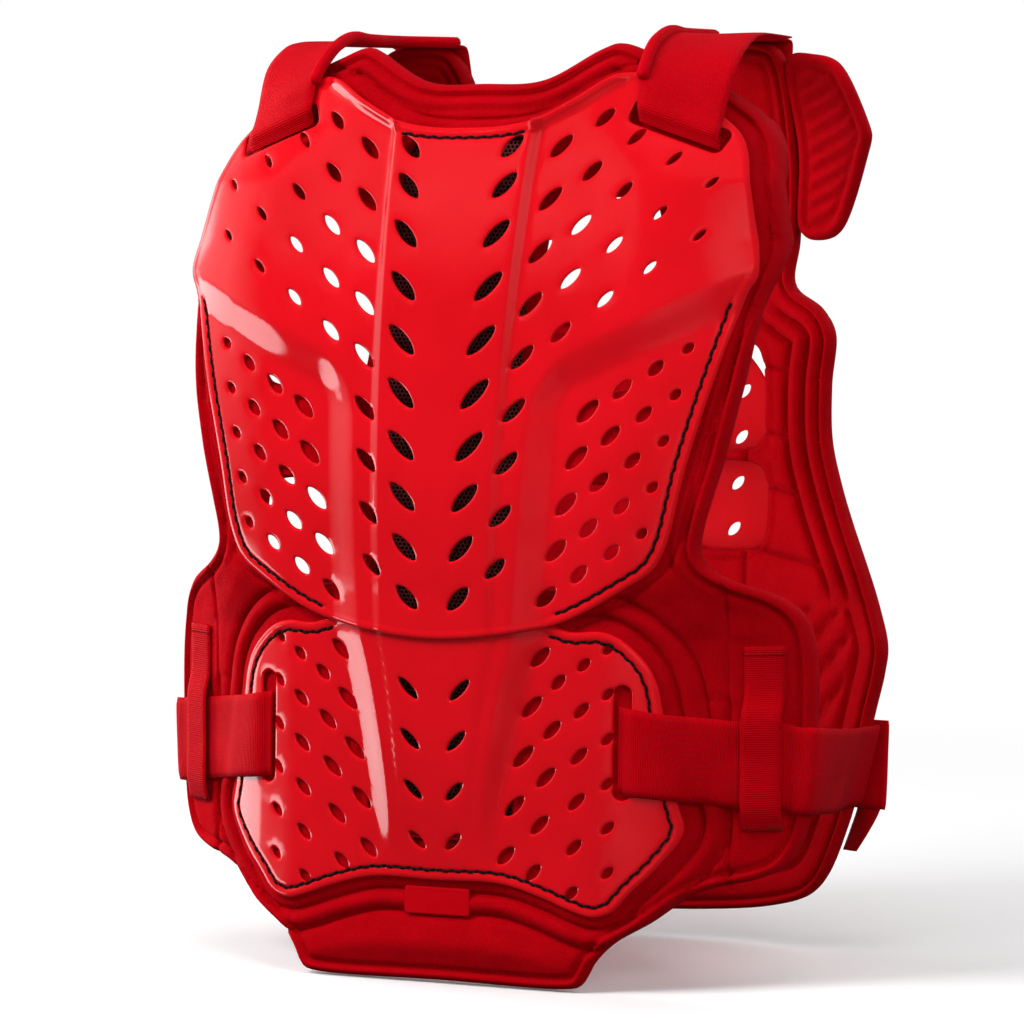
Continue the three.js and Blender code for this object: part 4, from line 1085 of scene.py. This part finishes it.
def build_painted_shade_sheet():
    """Black cloth stretched behind the net as painted shade for the shadowed inside, its edges
    caught in the padding.
    """
    foot, top = COLUMN_FOOT * FRONT_HEIGHT + 3, COLUMN_TOP * FRONT_HEIGHT + 1.5
    wide = 2 * (COLUMN_HALF * FRONT_HALF + 0.8)
    edge = round_box(0, (foot + top) / 2, wide, top - foot, 14)
    plan, faces, to_edge, _ = triangulate(edge, [], 5.0, (1.0, 2.5))
    x, h = plan.T
    slack = 0.5 * np.sin(x / 9) * np.sin(h / 21) * ease(to_edge / 8)
    face = net_depth(x, h) + SHADE_SHEET_GAP + slack
    piece = panel("net_painted_shade_sheet", plan, faces, face, face + SHADE_SHEET_THICKNESS, PAINTED_SHADE_BLACK)
    dress(piece)


# Webbing
def band_grid(stations, across, steps):
    """Grid of points of a band through its stations."""
    rows = np.array(stations, float)
    at = np.linspace(-1, 1, across)
    weights = [(1 - at) / 2, (1 + at) / 2]
    if rows.shape[1] == 3:
        weights = [at * (at - 1) / 2, 1 - at * at, at * (at + 1) / 2]
    lines = np.einsum("nu,snk->usk", weights, rows)
    return np.stack([curve_through(line, steps, False) for line in lines], axis=1)


BAND_EDGE = 0.35


def band(name, stations, thickness, material, nodes=(), across=13, steps=7, ripple=0.0,
         seed=0):
    """Woven band through stations; returns its grid of middle points and their normals."""
    grid = band_grid(stations, across, steps)
    rows, columns = grid.shape[:2]
    run = run_of(grid[:, columns // 2])
    normal = np.cross(np.gradient(grid, axis=1), np.gradient(grid, axis=0))
    normal /= np.maximum(np.linalg.norm(normal, axis=2), 1e-9)[..., None]
    side = np.linspace(-0.5, 0.5, columns)
    width = np.linalg.norm(grid[:, -1] - grid[:, 0], axis=1).mean()
    profile = np.sqrt(np.maximum(0.0, 1 - (np.abs(side) * 2) ** 10)) * (1 - BAND_EDGE) + BAND_EDGE
    draw = random.Random(seed)
    phase = [draw.uniform(0, 6.28) for _ in range(3)]
    s, u = run[:, None], side[None, :]
    wave = ripple * (np.sin(s / 17 + phase[0] + 2.2 * u) + 0.6 * np.sin(s / 7.3 + phase[1] - 3 * u)
                     + 0.5 * np.sin(u * 9 + s / 31 + phase[2]))
    middle = grid + normal * wave[..., None]
    half = thickness / 2 * profile[None, :, None]
    points = np.concatenate([middle + normal * half, middle - normal * half]).reshape(-1, 3)
    points[:, 2] -= SHOULDER_HEIGHT
    top, under = np.arange(2 * rows * columns).reshape(2, rows, columns)
    walls = [
        (top[:-1, :-1], top[:-1, 1:], top[1:, 1:], top[1:, :-1]),
        (under[:-1, :-1], under[1:, :-1], under[1:, 1:], under[:-1, 1:]),
        (top[:-1, 0], top[1:, 0], under[1:, 0], under[:-1, 0]),
        (top[:-1, -1], under[:-1, -1], under[1:, -1], top[1:, -1]),
        (top[0, :-1], under[0, :-1], under[0, 1:], top[0, 1:]),
        (top[-1, :-1], top[-1, 1:], under[-1, 1:], under[-1, :-1]),
    ]
    faces = np.vstack([np.stack(wall, axis=-1).reshape(-1, 4) for wall in walls])
    attributes = {"run": np.tile(np.repeat(run, columns), 2) * MM,
                  "side": np.tile(side * width, 2 * rows) * MM}
    dress(add_object(name, points * MM, faces, material, attributes), nodes)
    return grid, normal


def mirrored(stations, side):
    """The same stations on the right, or mirrored on the left."""
    if side > 0:
        return stations
    return [[(-x, y, h) for x, y, h in row][::-1] for row in stations]


def shoulder_stations():
    back_top = BACK_FOOT + BACK_HEIGHT
    crest = SHOULDER_HEIGHT + STRAP_THICKNESS / 2
    tilt = SHOULDER_STRAP_TILT
    across = [u * STRAP_WIDTH for u in (-0.5, 0, 0.5)]

    def on_plate(h, clear):
        row = []
        for a in across:
            x = SHOULDER_SLOT_ACROSS + a * math.cos(tilt)
            up = h + a * math.sin(tilt)
            row.append((x, float(chest_front(x, up)) + clear(x, up), up))
        return row

    def behind(x, h):
        return float(chest_back(x, h) - chest_front(x, h)) + STRAP_LIFT

    def in_front(x, h):
        return -STRAP_LIFT - 1

    def middle(x, h):
        return float(chest_back(x, h) - chest_front(x, h)) / 2

    def level(y, h, share):
        return [(SHOULDER_SLOT_ACROSS + a, y + a * 0.25 * share, h + a * math.sin(tilt * share))
                for a in across]

    fall_x = (BACK_EDGE[6][0] + BACK_EDGE[7][0]) * BACK_HALF / 2

    def on_back(h):
        return [(fall_x + a, float(back_outside(fall_x + a * 0.7, h)) + STRAP_LIFT, h)
                for a in across]

    def flat(y, h):
        return [(fall_x + a, y, h) for a in across]

    yoke = float(back_inside(fall_x, back_top))
    yoke_rear = float(back_outside(fall_x, back_top)) + 1
    plate_top = UPPER_FOOT + UPPER_HEIGHT
    collar_front = float(chest_front(SHOULDER_SLOT_ACROSS, FRONT_HEIGHT)) - STRAP_LIFT
    return [
        on_plate(SHOULDER_SLOT_UP - 5, behind),
        on_plate(SHOULDER_SLOT_UP - 1, middle),
        on_plate(SHOULDER_SLOT_UP + 4, in_front),
        on_plate(SHOULDER_SLOT_UP + 12, in_front),
        on_plate(plate_top - 10, in_front),
        level(collar_front + 4, FRONT_HEIGHT - 7, 0.6),
        level(collar_front * 0.42, crest - 2, 0.3),
        level(0, crest, 0),
        level(yoke * 0.6, crest + 0.5, 0),
        flat(yoke + 1, back_top + STRAP_LIFT + 0.8),
        flat(yoke_rear - 3, back_top + STRAP_LIFT + 0.8),
        flat(yoke_rear + STRAP_LIFT + 0.3, back_top + STRAP_LIFT * 0.5),
        on_back(back_top - 12),
        on_back(back_top - STRAP_TAIL * 0.5),
        on_back(back_top - STRAP_TAIL),
    ]


def edge_across(table, size, h):
    """Outermost point of a half outline at one height."""
    half, height, foot = size
    widest = 0.0
    for (a_across, a_up), (b_across, b_up) in zip(table, table[1:]):
        if a_up == b_up:
            continue
        t = ((h - foot) / height - a_up) / (b_up - a_up)
        if 0 <= t <= 1:
            widest = max(widest, mix(a_across, b_across, t) * half)
    return widest


def strap_middle(share):
    """Height of the waist strap's middle, a share of the way to its rear end."""
    return SLOT_UP - 4 - WAIST_DROP * share


def waist_stations():
    def plate_edge(h):
        return edge_across(BELLY_PLATE_EDGE, LOWER_SIZE, h)

    def flap_edge(h):
        return edge_across(FRONT_EDGE, FRONT_SIZE, h)

    def rear_edge(h):
        return edge_across(BACK_EDGE, BACK_SIZE, h)

    def station(share, place):
        heights = [strap_middle(share) + u * STRAP_WIDTH for u in (0.5, 0, -0.5)]
        spots = [place(h) for h in heights]
        return [(x, float(y), h) for (x, y), h in zip(spots, heights)]

    def in_slot(x):
        return lambda h: (x, (belly_front(x, h) + belly_back(x, h)) / 2)

    def over_plate(x, h):
        return x, belly_front(x, h) - STRAP_LIFT

    def over_pad(x, h):
        return x, pad_front(x, h) - STRAP_LIFT

    def on_rear(inset, lift):
        def place(h):
            x = rear_edge(h) - inset
            return x, back_outside(x, h) + lift
        return place

    slot_edge = SLOT_ACROSS + SLOT_WIDTH / 2

    def flap_y(h):
        return pad_front(flap_edge(h), h)

    def rear_y(h):
        return back_inside(rear_edge(h), h)

    def rear_end(h):
        return back_outside(rear_edge(h), h)

    return [
        station(0, in_slot(SLOT_ACROSS - 2)),
        station(0.02, in_slot(SLOT_ACROSS + 0.5)),
        station(0.05, lambda h: over_plate(slot_edge + 1.5, h)),
        station(0.15, lambda h: over_plate(plate_edge(h) + 1, h)),
        station(0.22, lambda h: over_pad(plate_edge(h) + 13, h)),
        station(0.33, lambda h: over_pad(KEEPER_ACROSS - KEEPER_WIDTH * 0.6, h)),
        station(0.4, lambda h: over_pad(KEEPER_ACROSS + KEEPER_WIDTH * 0.6, h)),
        station(0.46, lambda h: over_pad(flap_edge(h) - 6, h)),
        station(0.48, lambda h: (flap_edge(h) + 2, flap_y(h) - 1.6)),
        station(0.52, lambda h: (flap_edge(h) + 4.4, flap_y(h) + 8)),
        station(0.75, lambda h: (mix(flap_edge(h), rear_edge(h), 0.5) + 7,
                                 mix(flap_y(h), rear_y(h), 0.5))),
        station(0.95, lambda h: (rear_edge(h) + STRAP_LIFT + 1, rear_y(h) - 4)),
        station(0.98, lambda h: (rear_edge(h) + STRAP_LIFT + 0.8, rear_end(h) - 3)),
        station(0.99, lambda h: (rear_edge(h) + STRAP_LIFT * 0.8, rear_end(h) + STRAP_LIFT * 0.9)),
        station(1, on_rear(5, STRAP_LIFT + 0.3)),
        station(1, on_rear(18, STRAP_LIFT)),
    ]


def keeper_stations():
    flat = KEEPER_THICKNESS / 2 + BAND_GAP
    raised = 2 * BAND_GAP + STRAP_THICKNESS + KEEPER_THICKNESS / 2 + 0.8
    strap_top = strap_middle(0.365) + STRAP_WIDTH / 2
    strap_foot = strap_top - STRAP_WIDTH

    def station(h, clear):
        row = []
        for share in (-0.5, 0.5):
            x = KEEPER_ACROSS + share * KEEPER_WIDTH
            y = pad_front(x, h) - wall_depth(front_forward, x, h, clear)
            row.append((x, float(y), h))
        return row

    return [
        station(KEEPER_TOP, flat), station(strap_top + 16, flat), station(strap_top + 3, raised),
        station((strap_top + strap_foot) / 2, raised), station(strap_foot - 1, raised),
        station(KEEPER_FOOT, flat),
    ]


TAB_WIDTH, TAB_HEIGHT, TAB_THICKNESS, TAB_PAST = 44, 54, 3.2, 11


def tab_place(x, h, side_x, lift):
    return x, float(back_outside(min(x, side_x), h)) + lift, h


def tab_stations():
    """Hook tab over the waist strap's rear end."""
    middle = strap_middle(1)
    side_x = edge_across(BACK_EDGE, BACK_SIZE, middle)
    lift = 2 * STRAP_LIFT + TAB_THICKNESS / 2 + SEWN
    return [[tab_place(side_x + TAB_PAST - TAB_WIDTH * t, middle + u * TAB_HEIGHT, side_x, lift)
             for u in (0.5, 0, -0.5)] for t in (0, 0.4, 0.7, 1)]


PULL_THICKNESS = 3.0
# Rows of the pull loop: (height over the tab's foot, inset, half width)
PULL_ROWS = [(14, 2, 8), (0, 4, 8), (-14, 10, 7), (-27, 17, 5)]


def pull_stations():
    """Pull loop that hangs from the lower end of the tab."""
    side_x = edge_across(BACK_EDGE, BACK_SIZE, strap_middle(1))
    foot = strap_middle(1) - TAB_HEIGHT / 2
    lift = 2 * STRAP_LIFT + TAB_THICKNESS + SEWN + 1.6
    return [[tab_place(side_x + TAB_PAST - 8 - inset + a * half, foot + up, side_x, lift)
             for a in (1, 0, -1)] for up, inset, half in PULL_ROWS]


def tube(name, path, radius, material, sides=10):
    """Round cord of cloth along a path in metres, narrower at its ends."""
    way = np.gradient(path, axis=0)
    way /= np.linalg.norm(way, axis=1)[:, None]
    up = np.where(np.abs(way[:, 2:]) > 0.95, (1.0, 0.0, 0.0), (0.0, 0.0, 1.0))
    across = np.cross(way, up)
    across /= np.linalg.norm(across, axis=1)[:, None]
    up = np.cross(across, way)
    turn = np.linspace(0, 2 * math.pi, sides, endpoint=False)
    ring = across[:, None] * np.cos(turn)[:, None] + up[:, None] * np.sin(turn)[:, None]
    size = np.full(len(path), radius)
    size[[0, -1]] *= 0.5
    points = path[:, None] + ring * size[:, None, None]
    attributes = {"run": np.repeat(run_of(path), sides), "side": np.tile(turn * radius, len(path))}
    return add_object(name, points.reshape(-1, 3), skin(len(path), sides), material, attributes)


TACK_ROWS = (2, -3)
TACK_STEP, TACK_LENGTH, TACK_RADIUS = 2.4, 2.0, 0.45


def tack(name, grid, normal, thickness):
    """Stitches across a band, near both of its ends."""
    lines = []
    for row in TACK_ROWS:
        outward = normal[row] * np.sign(np.sum(normal[row] * grid[row] * (1, 1, 0)))
        line = even_line(grid[row] + outward * (thickness / 2 + 0.1), TACK_STEP)
        line[:, 2] -= SHOULDER_HEIGHT
        lines.append((line * MM, outward[0]))
    dress(capsules(name, lines, TACK_LENGTH * MM, TACK_RADIUS * MM, THREAD_RED))


WELT_START, WELT_END = 26, 66
WELT_LIFT, WELT_RADIUS = 1.6, 3.7


def build_straps():
    for name, side in (("right", 1), ("left", -1)):
        grid, normal = band(f"shoulder_webbing_{name}", mirrored(shoulder_stations(), side),
                            STRAP_THICKNESS, WEB_RED, [f"shoulder_strap_{name}"],
                            ripple=0.12, seed=3 + side)
        inner = 0 if side > 0 else -1
        path = (grid + normal * WELT_LIFT)[WELT_START:WELT_END, inner]
        path[:, 2] -= SHOULDER_HEIGHT
        dress(tube(f"shoulder_welt_{name}", path * MM, WELT_RADIUS * MM, RIM_RED))
        band(f"waist_elastic_{name}", mirrored(waist_stations(), side), STRAP_THICKNESS, WEB_RED,
             [f"waist_strap_{name}"], ripple=0.12, seed=9 + side)
        grid, normal = band(f"keeper_tape_{name}", mirrored(keeper_stations(), side),
                            KEEPER_THICKNESS, WEB_RED, [f"keeper_{name}"],
                            across=9, steps=12)
        tack(f"keeper_tack_{name}", grid, normal, KEEPER_THICKNESS)
        grid, normal = band(f"hook_tab_pad_{name}", mirrored(tab_stations(), side), TAB_THICKNESS,
                            RIM_RED, [f"hook_tab_{name}"], across=17, steps=8,
                            ripple=0.2, seed=21 + side)
        tack(f"hook_tab_tack_{name}", grid, normal, TAB_THICKNESS)
        band(f"pull_loop_{name}", mirrored(pull_stations(), side), PULL_THICKNESS, WEB_RED,
             across=9)


def build_label():
    """Blank woven label on the hem."""
    middle = LOWER_FOOT + BELLY_PLATE_EDGE[-1][1] * LOWER_HEIGHT
    top = middle - SEAT_GAP - LAP_DROP
    edge = round_box(0, top - LABEL_HEIGHT / 2, LABEL_WIDTH, LABEL_HEIGHT, 1.2, step=1.6)
    plan, faces, to_edge, _ = triangulate(edge, [], 2.0, (0.4, 1.0))
    x, h = plan.T
    rear = pad_front(x, h) - SEWN
    face = rear - LABEL_THICKNESS + rounded(to_edge, 0.5) + 0.25 * bump(to_edge, 2.0, 0.8)
    piece = panel("hem_tag", plan, faces, face, rear, WEB_RED)
    dress(piece, ["hem_label"])


# Stage, light and camera
WHITE = (1, 1, 1)


def seen_from(azimuth, elevation, distance, target):
    """A place at a distance from target; azimuth 0 is in front, positive to the right."""
    a, e = math.radians(azimuth), math.radians(elevation)
    way = Vector((math.sin(a) * math.cos(e), -math.cos(a) * math.cos(e), math.sin(e)))
    return target + way * distance


def stand(name, data, place, target):
    """A lamp or camera at place, turned to target."""
    thing = bpy.data.objects.new(name, data)
    bpy.context.scene.collection.objects.link(thing)
    thing.location = place
    thing.rotation_euler = (target - place).to_track_quat("-Z", "Y").to_euler()
    return thing


def add_light(name, place, target, size, power):
    """Soft box that lights the object but is neither seen nor reflected."""
    data = bpy.data.lights.new(name, "AREA")
    data.shape = "RECTANGLE"
    data.size, data.size_y = size
    data.energy = power
    lamp = stand(name, data, place, target)
    lamp.visible_camera = False
    lamp.visible_glossy = False


FLOOR_HEIGHT, FLOOR_HALF = -0.5505, 9.0
FLOOR_FADE = (0.5, 1.5)


def build_floor():
    """Pale floor that fades to the white of the studio away from the object."""
    material = bpy.data.materials.new("pale_floor")
    paint = Paint(material)
    grain = paint.blend(paint.noise(3.0), (0.88, 0.88, 0.885), (0.92, 0.92, 0.925))
    matt = paint.node("BsdfPrincipled", {"Base Color": grain, "Roughness": 0.7,
                                         "Specular IOR Level": 0.1})
    away = paint.node("VectorMath", {0: paint.place}, operation="LENGTH").outputs["Value"]
    fade = paint.ranged(away, 0.0, 1.0, *FLOOR_FADE)
    glow = paint.node("Emission", {"Color": WHITE, "Strength": 1.0})
    both = paint.node("MixShader", {0: fade, 1: matt.outputs["BSDF"],
                                    2: glow.outputs["Emission"]})
    paint.node("OutputMaterial", {"Surface": both.outputs["Shader"]})
    size, low = FLOOR_HALF, FLOOR_HEIGHT
    points = [(-size, -size, low), (size, -size, low), (size, size, low), (-size, size, low)]
    floor = add_object("floor", points, [(0, 1, 2, 3)], material)
    floor.visible_glossy = False
    floor.visible_diffuse = False


# Bright cards of the studio, as directions from the object in degrees:
# (left, right, low, high, softness, strength)
CARDS = [
    (-70, -50, -16, -6, 1.2, 4.6),
    (-100, -70, -16, 0, 1.2, 4.2),
    (-125, -54, -2, 28, 12, 0.9),
    (-119, -98, 0, 22, 4, 1.6),
    (28, 60, 14, 34, 8, 0.4),
]
AMBIENT = 0.06


def build_world():
    """White where the camera sees it; elsewhere dim, with the cards that the plates reflect."""
    world = bpy.data.worlds.new("studio")
    bpy.context.scene.world = world
    paint = Paint(world, "Generated")
    x, y, z = paint.node("SeparateXYZ", {"Vector": paint.place}).outputs
    turn = 180 / math.pi
    ahead = paint.math("MULTIPLY", y, -1.0)
    azimuth = paint.math("MULTIPLY", paint.math("ARCTAN2", x, ahead), turn)
    height = paint.math("MULTIPLY", paint.math("ARCSINE", z), turn)
    total = AMBIENT
    for left, right, low, high, soft, strength in CARDS:
        card = paint.ranged(azimuth, 0.0, strength, left - soft, left + soft)
        for value, start, end in ((azimuth, right + soft, right - soft),
                                  (height, low - soft, low + soft),
                                  (height, high + soft, high - soft)):
            card = paint.math("MULTIPLY", card, paint.ranged(value, 0.0, 1.0, start, end))
        total = paint.math("ADD", total, card)
    unseen = paint.node("Background", {"Color": WHITE, "Strength": total})
    seen = paint.node("Background", {"Color": WHITE, "Strength": 1.0})
    camera = paint.node("LightPath").outputs["Is Camera Ray"]
    both = paint.node("MixShader", {0: camera, 1: unseen.outputs[0], 2: seen.outputs[0]})
    paint.node("OutputWorld", {"Surface": both.outputs[0]})


# Azimuth and elevation in degrees, distance and size in metres, power in watts
LIGHTS = [
    ("key_box", -38, 38, 2.4, (1.2, 1.0), 53),
    ("top_box", 20, 72, 2.4, (1.8, 1.2), 21),
    ("right_box", 58, 22, 2.4, (1.0, 1.2), 12),
    ("front_box", 20, -2, 3.0, (1.6, 1.2), 24),
    ("left_box", -100, 8, 2.2, (0.9, 1.2), 44),
    ("side_box", 100, 12, 2.4, (0.8, 1.2), 10),
    ("rear_box", 160, 35, 2.4, (1.8, 1.4), 18),
]


def build_light():
    bpy.context.scene.view_settings.view_transform = "Standard"
    middle = Vector((0, 0, -0.27))
    for name, azimuth, elevation, distance, size, power in LIGHTS:
        add_light(name, seen_from(azimuth, elevation, distance, middle), middle, size, power)
    add_light("inner_box", Vector((0.03, -0.01, -0.29)), Vector((0.17, 0.11, -0.26)),
              (0.16, 0.34), 0.3)


# Degrees and metres
CAMERA_AZIMUTH, CAMERA_ELEVATION, CAMERA_DISTANCE = 25, 3.46, 2.704
CAMERA_LENS, CAMERA_SENSOR = 163.9, 36
CAMERA_TARGET = Vector((0.0365, -0.095, -0.276))


def build_camera():
    data = bpy.data.cameras.new("camera")
    data.lens, data.sensor_width = CAMERA_LENS, CAMERA_SENSOR
    place = seen_from(CAMERA_AZIMUTH, CAMERA_ELEVATION, CAMERA_DISTANCE, CAMERA_TARGET)
    bpy.context.scene.camera = stand("camera", data, place, CAMERA_TARGET)


build_camera()
build_world()
build_floor()
build_light()
build_front_plates()
build_back_plate()
build_stitching()
build_front_padding()
build_back_padding()
build_wings()
build_net()
build_painted_shade_sheet()
build_label()
build_straps()
